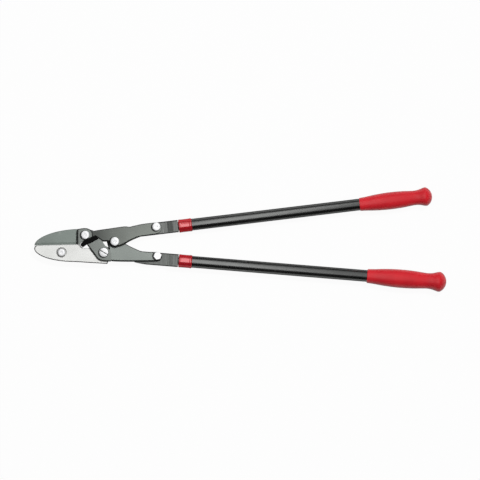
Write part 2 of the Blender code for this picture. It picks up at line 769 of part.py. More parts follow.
def jaw_belly():
    """Underside of the jaw: a quarter ellipse from the nose, then a straight run."""
    points = []
    for i in range(15, -1, -1):
        share = 1 - math.cos(math.pi / 2 * i / 15)
        drop = JAW_BELLY * math.sqrt(1 - (1 - share) ** 2)
        points.append((TIP_X - 0.4 + JAW_BELLY_LENGTH * share, 8.0 - drop))
    return points


def jaw_outline():
    """Outline of the anvil jaw, clockwise from the top of its nose."""
    left, right = TIP_X + 3.4, CUT_RIGHT[0] + 0.4
    outline = [(left, cut_line(left) - GAP), (right, cut_line(right) - GAP)]
    outline += JAW_SEAT + [(-41.0, JAW_TOP_RIGHT), (-19.0, JAW_TOP_RIGHT)]
    outline += arc(MAIN_PIVOT, JAW_BOSS, 128, -20)
    outline += [(JAW_BOTTOM_RIGHT[0], JAW_BOTTOM_RIGHT[1] + 2.4),
                (JAW_BOTTOM_RIGHT[0] - 1.6, JAW_BOTTOM_RIGHT[1])]
    outline += jaw_belly()
    outline += [(TIP_X + 0.6, 11.6)]
    return outline


def arm_outline(extra=0.0):
    """Outline of the steel arm behind the jaw, from the rivet to the anvil bolt."""
    end = (RIVET_PIVOT[0] + 1.2, RIVET_PIVOT[1])
    outline = arc(end, ARM_END_RADIUS + extra, 80, -100)
    outline += [(ARM_WAIST_X, ARM_WAIST[1] - extra)]
    outline += arc(MAIN_PIVOT, ARM_PIVOT_BOSS + extra, -60, -100)
    outline += [(x, y - extra) for x, y in ARM_LOWER]
    outline += arc(ANVIL_BOLT, ARM_FRONT_RADIUS + extra, -100, -270)
    outline += [(x, y + extra) for x, y in ARM_UPPER]
    outline += arc(MAIN_PIVOT, ARM_PIVOT_BOSS + extra, 140, 50)
    outline += [(ARM_WAIST_X, ARM_WAIST[0] + extra)]
    return outline


def add_anvil():
    """Anvil jaw, its steel arm and the bolt that joins them."""
    back = JAW_FRONT_Z - JAW_THICKNESS
    loops = [jaw_outline(), hole(MAIN_PIVOT, PIVOT_SHANK), hole(ANVIL_BOLT, NECK_SHANK)]
    jaw = add_shouldered_plate("anvil_jaw", loops, (back, JAW_FRONT_Z), ANVIL_BODY, ANVIL_ALUMINIUM,
                               HIDDEN_SHOULDER, JAW_SHOULDER, on_jaw)
    slot_wall = TAIL_HALF_WIDTH + 1.5
    slot = [offset_from_link(-0.6, slot_wall), offset_from_link(2.2, slot_wall),
            offset_from_link(2.2, -60.0), offset_from_link(-0.6, -60.0)]
    rebate = add_cutter("arm_rebate", [arm_outline(0.5)], back - 2.0, ARM_Z[1] + GAP)
    add_boolean(jaw, rebate)
    add_boolean(jaw, add_cutter("tail_slot", [slot], ARM_Z[1] - 1.0, MIDDLE_HALF + RUNNING_GAP))
    bore = add_cutter("head_bore", [circle(ANVIL_BOLT, COUNTERBORE_RADIUS)],
                      JAW_FRONT_Z - COUNTERBORE_DEPTH, JAW_FRONT_Z + 2.0)
    add_boolean(jaw, bore)
    reach = RIVET_SHANK + RIVET_SIDE_CLEARANCE
    outer_end = (RIVET_PIVOT[0] + RIVET_TRAVEL, RIVET_PIVOT[1] - 0.2)
    inner_end = (RIVET_PIVOT[0], RIVET_PIVOT[1] - 0.2)
    rivet_slot = arc(outer_end, reach, 90, -90, 12) + arc(inner_end, reach, -90, -270, 12)
    loops = [arm_outline(), hole(MAIN_PIVOT, PIVOT_SHANK), hole(ANVIL_BOLT, NECK_SHANK), rivet_slot]
    add_plate("anvil_arm", loops, ARM_Z, ANVIL_BODY, LEVER_STEEL)
    bolt_stack("anvil", ANVIL_BOLT, JAW_FRONT_Z - COUNTERBORE_DEPTH, ARM_Z[0], ANVIL_HEAD_RADIUS,
               NECK_SHANK, NECK_NUT_RADIUS, ANVIL_BODY, turn=20.0)


def add_main_pivot():
    """Slotted main bolt with its nut."""
    bolt = bolt_stack("main", MAIN_PIVOT, FRONT_LINK_Z[1], BACK_LINK_Z[0], MAIN_HEAD_RADIUS,
                      PIVOT_SHANK, PIVOT_NUT_RADIUS, ANVIL_BODY, height=MAIN_HEAD_HEIGHT, turn=25.0)
    along = Vector((math.cos(math.radians(SLOT_TURN)), math.sin(math.radians(SLOT_TURN))))
    aside = Vector((-along.y, along.x))
    reach = MAIN_HEAD_RADIUS + 2.0
    corners = [along * reach * sx + aside * SLOT_WIDTH / 2 * sy
               for sx, sy in ((-1, -1), (1, -1), (1, 1), (-1, 1))]
    top = FRONT_LINK_Z[1] + GAP + MAIN_HEAD_HEIGHT
    slot = add_cutter("driver_slot", [[tuple(c) for c in corners]], top - SLOT_DEPTH, top + 2.0)
    add_boolean(bolt, slot)


# Levers

def add_upper_lever():
    """Upper lever, from the blade pivot over the handle pivot to the upper neck."""
    outline = arc(BLADE_PIVOT, LEVER_FRONT_BOSS, 250, 60)
    outline += smooth(UPPER_TOP)
    outline += arc(UPPER_END_CENTRE, UPPER_END_RADIUS, 97, -80)
    outline += smooth(UPPER_BOTTOM)
    outline += arc(HANDLE_PIVOT, LEVER_BOSS, -58, -176)
    outline += UPPER_INNER
    loops = [outline, hole(BLADE_PIVOT, PIVOT_SHANK), hole(HANDLE_PIVOT, PIVOT_SHANK),
             hole(UPPER_NECK_BOLT, NECK_SHANK)]
    add_shouldered_plate("upper_lever", loops, LEVER_Z, UPPER_BODY, LEVER_STEEL,
                         HIDDEN_SHOULDER, LEVER_SHOULDER, on_upper_lever)


def add_lower_lever():
    """Lower lever, from the handle pivot behind the upper lever to the lower neck."""
    outline = arc(HANDLE_PIVOT, LOWER_BOSS, 200, 40)
    outline += smooth(LOWER_TOP)
    outline += arc(LOWER_END_CENTRE, LOWER_END_RADIUS, 85, -85)
    outline += smooth(LOWER_BOTTOM) + LOWER_INNER
    loops = [outline, hole(HANDLE_PIVOT, PIVOT_SHANK), hole(LOWER_NECK_BOLT, NECK_SHANK)]
    lever = add_shouldered_plate("lower_lever", loops, (-MIDDLE_HALF, MIDDLE_HALF), FRAME, LEVER_STEEL,
                                 HIDDEN_SHOULDER, LEVER_SHOULDER, on_lower_lever)
    add_boolean(lever, add_cutter("rivet_seat", [hole(RIVET_PIVOT, RIVET_SHANK)], -MIDDLE_HALF - 2.0,
                                  MIDDLE_HALF - RIVET_SKIN))


def add_lever_pivots():
    """Bolt between the levers, and the blind rivet that carries the anvil arm."""
    bolt_stack("handle", HANDLE_PIVOT, LEVER_Z[1], -MIDDLE_HALF, HANDLE_HEAD_RADIUS, PIVOT_SHANK,
               PIVOT_NUT_RADIUS, UPPER_BODY, turn=15.0)
    back = ARM_Z[0] - RUNNING_GAP
    front = MIDDLE_HALF - RIVET_SKIN - GAP
    profile = [(back - RIVET_HEAD_HEIGHT, 0.0), (back - RIVET_HEAD_HEIGHT, RIVET_HEAD_RADIUS - 0.8),
               (back - RIVET_HEAD_HEIGHT + 0.8, RIVET_HEAD_RADIUS), (back, RIVET_HEAD_RADIUS),
               (back, RIVET_SHANK), (front, RIVET_SHANK), (front, 0.0)]
    mesh = turned_mesh("link_rivet", profile)
    mesh.transform(Matrix.Translation((RIVET_PIVOT[0] * MM, RIVET_PIVOT[1] * MM, 0.0)))
    add_object("link_rivet", mesh, FRAME, BRIGHT_ZINC)


# Handles

def neck_section(low, high, half, shift):
    """Section of a neck: a rectangle with bevelled corners, as (offset, height) points."""
    left, right = shift - half, shift + half
    front, back = LEVER_SHOULDER, HIDDEN_SHOULDER
    return [(left + back, low), (right - back, low), (right, low + back), (right, high - front),
            (right - front, high), (left + front, high), (left, high - front), (left, low + back)]


def neck_body(name, levels, length, half, shift, matrix):
    """Bar that runs flat behind the lever and ramps up to the ferrule, lofted from sections."""
    root = (-NECK_ROOT_HALF, NECK_ROOT_HALF)
    stations = [(-length - 2.0, levels), (-NECK_RAMP_START, levels), (-NECK_RAMP_END, root), (-GAP, root)]
    work = bmesh.new()
    rings = []
    for s, (low, high) in stations:
        section = neck_section(low, high, half, shift)
        rings.append([work.verts.new((z * MM, -t * MM, s * MM)) for t, z in section])
    work.faces.new(rings[0])
    work.faces.new(rings[-1])
    for first, second in zip(rings, rings[1:]):
        for i in range(len(first)):
            k = (i + 1) % len(first)
            work.faces.new((first[i], first[k], second[k], second[i]))
    bmesh.ops.recalc_face_normals(work, faces=work.faces)
    mesh = bpy.data.meshes.new(name)
    work.to_mesh(mesh)
    work.free()
    mesh.transform(matrix)
    bmesh_fix = bmesh.new()
    bmesh_fix.from_mesh(mesh)
    bmesh.ops.recalc_face_normals(bmesh_fix, faces=bmesh_fix.faces)
    bmesh_fix.to_mesh(mesh)
    bmesh_fix.free()
    return mesh


def neck_plan(length, matrix, tip):
    """Plan that cuts a neck's tip to shape, in the whole tool's frame."""
    local = [(0.0, tip[0][1])] + [(-length + s, t) for s, t in tip] + [(0.0, tip[-1][1])]
    points = []
    for s, t in local:
        place = matrix @ Vector((0.0, -t * MM, s * MM))
        points.append((place.x / MM, place.y / MM))
    return points


def add_neck(stem, levels, length, matrix, tip, half, shift, bolt_place, body):
    """Forged neck: flat behind the lever, ramped up to the ferrule, with a round tang."""
    mesh = neck_body(stem + "_neck", levels, length, half, shift, matrix)
    neck = add_object(stem + "_neck", mesh, body, NECK_STEEL)
    plan = add_cutter(stem + "_neck_plan", [neck_plan(length, matrix, tip)], -20.0, 20.0)
    add_boolean(neck, plan, "INTERSECT")
    bore = add_cutter(stem + "_neck_hole", [hole(bolt_place, NECK_SHANK)], -20.0, 20.0)
    add_boolean(neck, bore)
    tang_mesh = turned_mesh(stem + "_tang", [(-3.0, 0.0), (-3.0, NECK_ROOT_HALF - 1.0),
                                             (-GAP - 0.5, NECK_ROOT_HALF - 1.0), (-GAP - 0.5, TANG_RADIUS - 0.6),
                                             (TANG_LENGTH - 1.0, TANG_RADIUS - 0.6),
                                             (TANG_LENGTH, TANG_RADIUS - 1.6), (TANG_LENGTH, 0.0)])
    tang_mesh.transform(matrix)
    tang = bpy.data.objects.new(stem + "_tang", tang_mesh)
    CUTTERS.objects.link(tang)
    tang.parent = FRAME
    tang.hide_render = True
    tang.display_type = "WIRE"
    add_boolean(neck, tang, "UNION")
    return neck


def add_along(name, profile, matrix, body, material):
    """Turned piece on a handle's axis."""
    mesh = turned_mesh(name, profile)
    mesh.transform(matrix)
    return add_object(name, mesh, body, material)


def add_handle(stem, axis_y, angle, reach, grip_length, grip_scale, body):
    """Ferrule, tube and grip of one handle."""
    matrix = handle_matrix(axis_y, angle)
    outer, inner = FERRULE_RADIUS, TUBE_RADIUS + GAP
    ferrule = [(0.6, TANG_RADIUS), (0.6, outer - 0.8), (1.4, outer), (FERRULE_LENGTH - 0.8, outer),
               (FERRULE_LENGTH, outer - 0.6), (FERRULE_LENGTH, inner), (FERRULE_LIP, inner),
               (FERRULE_LIP, TANG_RADIUS), (0.6, TANG_RADIUS)]
    add_along(stem + "_ferrule", ferrule, matrix, body, RED_LACQUER)
    start, end = FERRULE_LIP + GAP, reach - GRIP_END_WALL - GAP
    bore = TUBE_RADIUS - TUBE_WALL
    tube = [(start, bore), (start, TUBE_RADIUS), (end, TUBE_RADIUS), (end, bore), (start, bore)]
    add_along(stem + "_tube", tube, matrix, body, BLACK_PAINT)
    first = reach - grip_length
    profile = [(first, TUBE_RADIUS + GAP)]
    profile += [(first + grip_length * share, radius * grip_scale) for share, radius in GRIP_PROFILE]
    profile += [(reach, 0.0)]
    profile += [(reach - GRIP_END_WALL, 0.0), (reach - GRIP_END_WALL, TUBE_RADIUS + GAP),
                (first, TUBE_RADIUS + GAP)]
    add_along(stem + "_grip", profile, matrix, body, RED_VINYL)
    return matrix


def add_handles():
    """Both handles with their necks and neck bolts."""
    upper = add_handle("upper", UPPER_AXIS_AT_FERRULE, UPPER_ANGLE, UPPER_REACH, UPPER_GRIP_LENGTH,
                       1.0, UPPER_BODY)
    add_neck("upper", UPPER_NECK_Z, UPPER_NECK_LENGTH, upper, UPPER_NECK_TIP,
             UPPER_NECK_HALF, UPPER_NECK_SHIFT, UPPER_NECK_BOLT, UPPER_BODY)
    bolt_stack("upper_neck", UPPER_NECK_BOLT, LEVER_Z[1], UPPER_NECK_Z[0], UPPER_NECK_HEAD_RADIUS,
               NECK_SHANK, NECK_NUT_RADIUS, UPPER_BODY, turn=5.0)
    lower = add_handle("lower", LOWER_AXIS_AT_FERRULE, LOWER_ANGLE, LOWER_REACH, LOWER_GRIP_LENGTH,
                       LOWER_GRIP_SCALE, FRAME)
    add_neck("lower", LOWER_NECK_Z, LOWER_NECK_LENGTH, lower, LOWER_NECK_TIP,
             LOWER_NECK_HALF, LOWER_NECK_SHIFT, LOWER_NECK_BOLT, FRAME)
    bolt_stack("lower_neck", LOWER_NECK_BOLT, MIDDLE_HALF, LOWER_NECK_Z[0], LOWER_NECK_HEAD_RADIUS,
               NECK_SHANK, NECK_NUT_RADIUS, FRAME, hexagonal=True, turn=10.0)


def settle_origin():
    """Moves the whole tool so that the origin is the bottom centre of its box."""
    bpy.context.view_layer.update()
    graph = bpy.context.evaluated_depsgraph_get()
    low = Vector((math.inf,) * 3)
    high = Vector((-math.inf,) * 3)
    for obj in LOPPER.objects:
        if obj.type != "MESH":
            continue
        mesh = obj.evaluated_get(graph).data
        for vertex in mesh.vertices:
            place = obj.matrix_world @ vertex.co
            low = Vector(map(min, low, place))
            high = Vector(map(max, high, place))
    FRAME.location = (-(low.x + high.x) / 2, -(low.y + high.y) / 2, -low.z)
    bpy.context.view_layer.update()


def main():
    """Builds every piece."""
    add_blade()
    add_links()
    add_buffer()
    add_blade_pivot()
    add_anvil()
    add_main_pivot()
    add_upper_lever()
    add_lower_lever()
    add_lever_pivots()
    add_handles()
    settle_origin()
    for empty in (UPPER_BODY, BLADE_BODY, ANVIL_BODY):
        print(empty.name, [round(value, 6) for value in empty.matrix_world.translation])
    print("frame", [round(value, 6) for value in FRAME.location])


main()
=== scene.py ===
"""Looks of the two-handed anvil lopper: finishes, fine round pieces, studio and camera."""

from __future__ import annotations

import json
import logging
import math
from dataclasses import dataclass, field
from enum import Enum

import bpy
import numpy as np
from mathutils import Matrix, Vector


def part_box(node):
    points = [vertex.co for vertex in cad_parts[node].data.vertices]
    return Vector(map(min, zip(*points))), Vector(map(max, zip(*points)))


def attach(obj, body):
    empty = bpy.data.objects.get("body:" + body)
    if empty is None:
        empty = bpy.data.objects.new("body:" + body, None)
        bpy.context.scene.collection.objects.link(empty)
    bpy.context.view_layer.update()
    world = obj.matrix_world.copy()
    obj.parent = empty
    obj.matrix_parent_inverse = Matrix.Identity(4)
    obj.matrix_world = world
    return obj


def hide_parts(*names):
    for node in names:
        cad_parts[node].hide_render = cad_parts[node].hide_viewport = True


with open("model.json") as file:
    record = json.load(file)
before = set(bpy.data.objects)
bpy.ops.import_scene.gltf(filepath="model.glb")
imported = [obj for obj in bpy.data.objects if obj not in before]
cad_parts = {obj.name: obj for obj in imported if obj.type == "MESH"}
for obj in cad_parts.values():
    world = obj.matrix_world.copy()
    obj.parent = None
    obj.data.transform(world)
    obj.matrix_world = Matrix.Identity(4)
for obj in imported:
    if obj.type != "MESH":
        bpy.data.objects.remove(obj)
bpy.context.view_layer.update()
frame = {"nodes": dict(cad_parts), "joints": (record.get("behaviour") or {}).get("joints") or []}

log = logging.getLogger("lopper")

Colour = tuple[float, float, float]
Zone = tuple[float, float, float, float, float]
Value = float | bpy.types.NodeSocket

MM = 0.001
GAP = 0.3                 # clearance round a tube, in millimetres
ROUND = 96                # segments round a handle
BOLT_ROUND = 72           # segments round a bolt
TINY = 1e-9               # shorter than this is nothing, in millimetres
MIDDLE = (0.35, 0.65)     # ends of the span that half of a noise's values lie in
WIDE = (0.3, 0.7)         # ends of the span that most of them lie in
FINE_DEPTH = 0.0002       # depth of a full bump on metal, in metres
SOFT_DEPTH = 0.0003       # the same on lacquer and plastic
JOINTS = {joint["name"]: Vector(joint["pos_m"]) for joint in frame["joints"]}
MAIN_PIVOT = JOINTS["anvil_swing"]


class Slot(Enum):
    """Names of the record's material slots for the new pieces."""

    ZINC = "bright_zinc"
    TUBE = "black_gloss"
    FERRULE = "red_gloss"
    GRIP = "red_grip"


class Finish(Enum):
    """Finishes of the tool's surfaces."""

    BLADE = "blade_coating"
    LINK = "link_coating"
    UPPER_LEVER = "upper_lever_coating"
    LOWER_LEVER = "lower_lever_coating"
    UPPER_NECK = "upper_neck_coating"
    LOWER_NECK = "lower_neck_coating"
    ANVIL = "anvil_aluminium"
    ZINC = "bright_zinc"
    SLOTTED_ZINC = "slotted_zinc"
    TUBE = "black_enamel"
    FERRULE = "red_lacquer"
    GRIP = "red_vinyl"
    RUBBER = "black_rubber"


# Node groups

@dataclass
class Wiring:
    """Short way to add and join the nodes of one tree."""

    tree: bpy.types.NodeTree

    def node(self, kind: str, inputs: dict[str | int, Value | Colour] | None = None,
             **settings: object) -> bpy.types.Node:
        """Adds a node.

        Args:
            kind: Blender's name of the node type.
            inputs: Socket name or number to a value, or to a socket that feeds it.
            settings: Properties of the node.

        Returns:
            The new node.
        """
        node = self.tree.nodes.new(kind)
        for key, value in settings.items():
            setattr(node, key, value)
        for key, value in (inputs or {}).items():
            self.feed(node.inputs[key], value)
        return node

    def feed(self, socket: bpy.types.NodeSocket, value: Value | Colour) -> None:
        """Links a socket to another, or sets its value.

        Args:
            socket: The input.
            value: The socket that feeds it, a number, or a colour with or without its alpha.
        """
        if isinstance(value, bpy.types.NodeSocket):
            self.tree.links.new(value, socket)
        elif isinstance(value, tuple) and len(value) == 3 and socket.type == "RGBA":
            socket.default_value = (*value, 1.0)
        else:
            socket.default_value = value

    def math(self, operation: str, *values: Value) -> bpy.types.NodeSocket:
        """Math node's result for sockets or numbers."""
        return self.node("ShaderNodeMath", dict(enumerate(values)), operation=operation).outputs[0]

    def noise(self, vector: bpy.types.NodeSocket, scale: Value, detail: float = 3.0,
              roughness: float = 0.55) -> bpy.types.NodeSocket:
        """Value of a noise texture, about 0.5 in the middle."""
        inputs = {"Vector": vector, "Scale": scale, "Detail": detail, "Roughness": roughness}
        return self.node("ShaderNodeTexNoise", inputs).outputs[0]

    def ramp(self, value: bpy.types.NodeSocket, low: Value, high: Value,
             to_low: float = 0.0, to_high: float = 1.0) -> bpy.types.NodeSocket:
        """Clamped linear map from low..high to to_low..to_high."""
        inputs = {0: value, 1: low, 2: high, 3: to_low, 4: to_high}
        return self.node("ShaderNodeMapRange", inputs).outputs[0]

    def mix(self, factor: Value, first: bpy.types.NodeSocket | Colour,
            second: bpy.types.NodeSocket | Colour, blend: str = "MIX") -> bpy.types.NodeSocket:
        """Colour between two colours; blended by MULTIPLY, the first times the second."""
        inputs = {0: factor, 6: first, 7: second}
        return self.node("ShaderNodeMix", inputs, data_type="RGBA", blend_type=blend).outputs[2]

    def bump(self, height: bpy.types.NodeSocket, strength: float, distance: float
             ) -> bpy.types.NodeSocket:
        """Normal bent by a height, whose full depth is the distance in metres."""
        inputs = {"Height": height, "Strength": strength, "Distance": distance}
        return self.node("ShaderNodeBump", inputs).outputs[0]

    def place(self) -> bpy.types.NodeSocket:
        """Place on the piece, in metres."""
        return self.node("ShaderNodeTexCoord").outputs["Object"]

    def apart(self, vector: bpy.types.NodeSocket) -> bpy.types.NodeOutputs:
        """The three parts of a vector."""
        return self.node("ShaderNodeSeparateXYZ", {0: vector}).outputs

    def turned_place(self, angle: Value) -> bpy.types.NodeOutputs:
        """The three parts of the place on the piece, turned about Z by an angle in radians."""
        inputs = {"Vector": self.place(), "Angle": angle}
        return self.apart(self.node("ShaderNodeVectorRotate", inputs, rotation_type="Z_AXIS").outputs[0])

    def reach(self, place: bpy.types.NodeOutputs, x: Value, y: Value) -> bpy.types.NodeSocket:
        """Distance in plan from a point.

        Args:
            place: The three parts of the place on the piece.
            x: X of the point, in metres.
            y: Y of the point, in metres.

        Returns:
            The root of the sum of the squares of the differences in X and in Y.
        """
        east = self.math("SUBTRACT", place[0], x)
        north = self.math("SUBTRACT", place[1], y)
        square = self.math("ADD", self.math("MULTIPLY", east, east), self.math("MULTIPLY", north, north))
        return self.math("SQRT", square)


@dataclass
class GroupMaker:
    """Shader node group under construction, with float inputs and outputs."""

    name: str
    inputs: dict[str, float]
    outputs: tuple[str, ...]
    tree: bpy.types.NodeTree = field(init=False)
    w: Wiring = field(init=False)
    given: bpy.types.NodeOutputs = field(init=False)
    sink: bpy.types.NodeInputs = field(init=False)

    def __post_init__(self) -> None:
        """Starts the group and gives it its sockets."""
        self.tree = bpy.data.node_groups.new(self.name, "ShaderNodeTree")
        for key, value in self.inputs.items():
            self.socket(key, "INPUT").default_value = value
        for key in self.outputs:
            self.socket(key, "OUTPUT")
        self.w = Wiring(self.tree)
        self.given = self.tree.nodes.new("NodeGroupInput").outputs
        self.sink = self.tree.nodes.new("NodeGroupOutput").inputs

    def socket(self, key: str, way: str) -> bpy.types.NodeTreeInterfaceSocket:
        """Adds one float socket."""
        return self.tree.interface.new_socket(key, in_out=way, socket_type="NodeSocketFloat")

    def put(self, **results: bpy.types.NodeSocket) -> bpy.types.NodeTree:
        """Joins results to the outputs of their names.

        Args:
            results: Output name to the socket that feeds it.

        Returns:
            The finished group.
        """
        for key, socket in results.items():
            self.tree.links.new(socket, self.sink[key])
        return self.tree


def build_grain_group() -> bpy.types.NodeTree:
    """Fine even grain of a coating or a moulded surface.

    Returns:
        Group with Scale in grains per metre; Height is the grain and Cloud a slow variation.
    """
    group = GroupMaker("surface_grain", {"Scale": 2500.0, "Cloud Scale": 22.0}, ("Height", "Cloud"))
    w, given = group.w, group.given
    place = w.place()
    return group.put(Height=w.noise(place, given["Scale"], 2.0, 0.6),
                     Cloud=w.noise(place, given["Cloud Scale"], 3.0, 0.5))


def build_brush_group() -> bpy.types.NodeTree:
    """Directional lines of a ground or brushed metal.

    Returns:
        Group whose Height runs along an angle in plan given by Angle, in radians.
    """
    group = GroupMaker("brushed_lines", {"Angle": 0.0, "Lines": 900.0, "Stretch": 0.02}, ("Height",))
    w, given = group.w, group.given
    parts = w.turned_place(given["Angle"])
    along = w.math("MULTIPLY", parts[0], given["Stretch"])
    stretched = w.node("ShaderNodeCombineXYZ", {0: along, 1: parts[1], 2: parts[2]})
    return group.put(Height=w.noise(stretched.outputs[0], given["Lines"], 4.0, 0.65))


def build_scratch_group() -> bpy.types.NodeTree:
    """Sparse fine scratches, thin lines between the cells of a stretched pattern.

    Returns:
        Group whose Mask is 1 on a scratch and 0 elsewhere.
    """
    stretch, patches, patch_ends = 0.16, 60.0, (0.52, 0.6)
    group = GroupMaker("fine_scratches", {"Scale": 90.0, "Angle": 0.4, "Width": 0.012}, ("Mask",))
    w, given = group.w, group.given
    parts = w.turned_place(given["Angle"])
    stretched = w.node("ShaderNodeCombineXYZ",
                       {0: w.math("MULTIPLY", parts[0], stretch), 1: parts[1], 2: 0.0})
    cells = w.node("ShaderNodeTexVoronoi", {"Vector": stretched.outputs[0], "Scale": given["Scale"]},
                   feature="DISTANCE_TO_EDGE")
    near = w.math("LESS_THAN", cells.outputs["Distance"], given["Width"])
    broken = w.ramp(w.noise(w.place(), patches), *patch_ends)
    return group.put(Mask=w.math("MULTIPLY", near, broken))


def build_edge_group() -> bpy.types.NodeTree:
    """Bevels and side walls of a flat plate, found by how far they lean from its faces.

    Returns:
        Group whose Mask is 0 on the flat faces and 1 on bevels and walls; Across is 1 where
        they face along Y, and Wall is 1 on the upright walls alone.
    """
    across_ends, wall_ends = (0.15, 0.35), (0.2, 0.1)
    group = GroupMaker("plate_edges", {"Flat": 0.97, "Edge": 0.84}, ("Mask", "Across", "Wall"))
    w, given = group.w, group.given
    normal = w.apart(w.node("ShaderNodeNewGeometry").outputs["Normal"])
    upright = w.math("ABSOLUTE", normal[2])
    return group.put(Mask=w.ramp(upright, given["Flat"], given["Edge"]),
                     Across=w.ramp(w.math("ABSOLUTE", normal[1]), *across_ends),
                     Wall=w.ramp(upright, *wall_ends))


def build_recess_group() -> bpy.types.NodeTree:
    """Painted shade at the bottom of a round recess or of a slot in a bolt head.

    Returns:
        Group whose Mask is 1 within Radius of a place in plan, below Level and above Floor.
    """
    group = GroupMaker("recess_painted_shade",
                       {"X": 0.0, "Y": 0.0, "Radius": 0.01, "Level": 0.02, "Floor": 0.01}, ("Mask",))
    w, given = group.w, group.given
    place = w.apart(w.place())
    near = w.math("LESS_THAN", w.reach(place, given["X"], given["Y"]), given["Radius"])
    below = w.math("LESS_THAN", place[2], given["Level"])
    above = w.math("GREATER_THAN", place[2], given["Floor"])
    return group.put(Mask=w.math("MULTIPLY", near, w.math("MULTIPLY", below, above)))


def build_zone_group() -> bpy.types.NodeTree:
    """Round soft-edged zone in plan where shade is painted, near a pivot or round a bolt head.

    Returns:
        Group whose Mask is 1 inside Inner and falls to 0 at Outer, both radii in metres.
    """
    group = GroupMaker("painted_shade_zone", {"X": 0.0, "Y": 0.0, "Inner": 0.01, "Outer": 0.05}, ("Mask",))
    w, given = group.w, group.given
    reach = w.reach(w.apart(w.place()), given["X"], given["Y"])
    return group.put(Mask=w.ramp(reach, given["Inner"], given["Outer"], 1.0, 0.0))


GRAIN = build_grain_group()
EDGES = build_edge_group()
RECESS = build_recess_group()
ZONE = build_zone_group()
BRUSH = build_brush_group()
SCRATCH = build_scratch_group()


# Finishes

@dataclass
class Shader:
    """Material under construction, with its wiring and its Principled BSDF."""

    name: str
    material: bpy.types.Material = field(init=False)
    w: Wiring = field(init=False)
    sockets: bpy.types.NodeInputs = field(init=False)

    def __post_init__(self) -> None:
        """Starts the material."""
        self.material = bpy.data.materials.new(self.name)
        self.material.use_nodes = True
        self.w = Wiring(self.material.node_tree)
        self.sockets = self.material.node_tree.nodes["Principled BSDF"].inputs

    def set(self, values: dict[str, Value | Colour]) -> None:
        """Sets or feeds sockets of the Principled BSDF by name."""
        for key, value in values.items():
            self.w.feed(self.sockets[key], value)

    def group(self, tree: bpy.types.NodeTree, **values: float) -> bpy.types.NodeOutputs:
        """Places a node group with its own values.

        Args:
            tree: The group.
            values: Input name to number, where an underscore stands for a space.

        Returns:
            The outputs of the group.
        """
        node = self.w.node("ShaderNodeGroup", node_tree=tree)
        for key, value in values.items():
            node.inputs[key.replace("_", " ")].default_value = value
        return node.outputs

    def rough(self, value: bpy.types.NodeSocket, roughness: float, spread: tuple[float, float]
              ) -> None:
        """Roughness that goes with a noise, as far below and above its mean as the spread."""
        low, high = roughness - spread[0], roughness + spread[1]
        self.set({"Roughness": self.w.ramp(value, *WIDE, low, high)})


def toned(colour: Colour, tone: float) -> Colour:
    """A colour made darker or lighter."""
    return tuple(tone * part for part in colour)


@dataclass(frozen=True)
class CoatedSteel:
    """Dark low-stick coating on steel: even grain, slow clouds, rubbed scratches, painted shade in round
    places.

    Colours are shares of light; edge, slope, dark and light are tones of the colour on edges,
    on slopes that face along X, and at the clouds' ends; the edge tone is painted shade on
    bevels and walls, and the slope tone is painted shade below 1 and painted light above 1;
    flat and lean are how upright a face stands where its bevel begins and where it is full;
    grains, clouds, scratches and lines are counts per metre.
    """

    name: str
    colour: Colour
    edge: float = 0.3
    roughness: float = 0.42
    angle: float = 0.1
    flat: float = 0.97
    lean: float = 0.84
    slope: float = 0.0
    streaks: float = 0.0
    zones: tuple[Zone, ...] = ()
    rubbed: Colour = (0.34, 0.35, 0.34)
    rubbing: float = 0.35
    dark: float = 0.86
    light: float = 1.12
    grains: float = 1500.0
    clouds: float = 14.0
    scratches: float = 70.0
    lines: float = 420.0
    stretch: float = 0.03
    line_share: float = 0.5
    bump: float = 0.12
    spread: tuple[float, float] = (0.06, 0.08)

    def build(self) -> bpy.types.Material:
        """Makes the material.

        Returns:
            The finished material.
        """
        shader = Shader(self.name)
        w = shader.w
        grain = shader.group(GRAIN, Scale=self.grains, Cloud_Scale=self.clouds)
        scratch = shader.group(SCRATCH, Scale=self.scratches, Angle=self.angle)
        brush = shader.group(BRUSH, Angle=self.angle, Lines=self.lines, Stretch=self.stretch)
        edges = shader.group(EDGES, Flat=self.flat, Edge=self.lean)
        base = w.mix(w.ramp(grain["Cloud"], *MIDDLE), toned(self.colour, self.dark),
                     toned(self.colour, self.light))
        face = w.mix(w.math("MULTIPLY", scratch["Mask"], self.rubbing), base, self.rubbed)
        # Painted shade: bevels and walls take the edge tone of the colour.
        rim = toned(self.colour, self.edge)
        # Painted shade where the slope tone is below 1 and painted light where it is above 1, on slopes
        # that face along X.
        if self.slope:
            rim = w.mix(edges["Across"], toned(self.colour, self.slope), rim)
        finished = w.mix(edges["Mask"], face, rim)
        if self.streaks:
            lines = w.ramp(brush["Height"], *MIDDLE, 1.0 - self.streaks, 1.0 + self.streaks)
            finished = w.mix(1.0, finished, lines, "MULTIPLY")
        # Painted shade: round soft places and the shadows of bolt heads darken the colour.
        for x, y, inner, outer, tone in self.zones:
            shade_mask = shader.group(ZONE, X=x, Y=y, Inner=inner, Outer=outer)["Mask"]
            finished = w.mix(shade_mask, finished, (tone,) * 3, "MULTIPLY")
        shader.rough(grain["Cloud"], self.roughness, self.spread)
        height = w.math("MULTIPLY_ADD", brush["Height"], self.line_share, grain["Height"])
        shader.set({"Base Color": finished, "Normal": w.bump(height, self.bump, FINE_DEPTH)})
        return shader.material


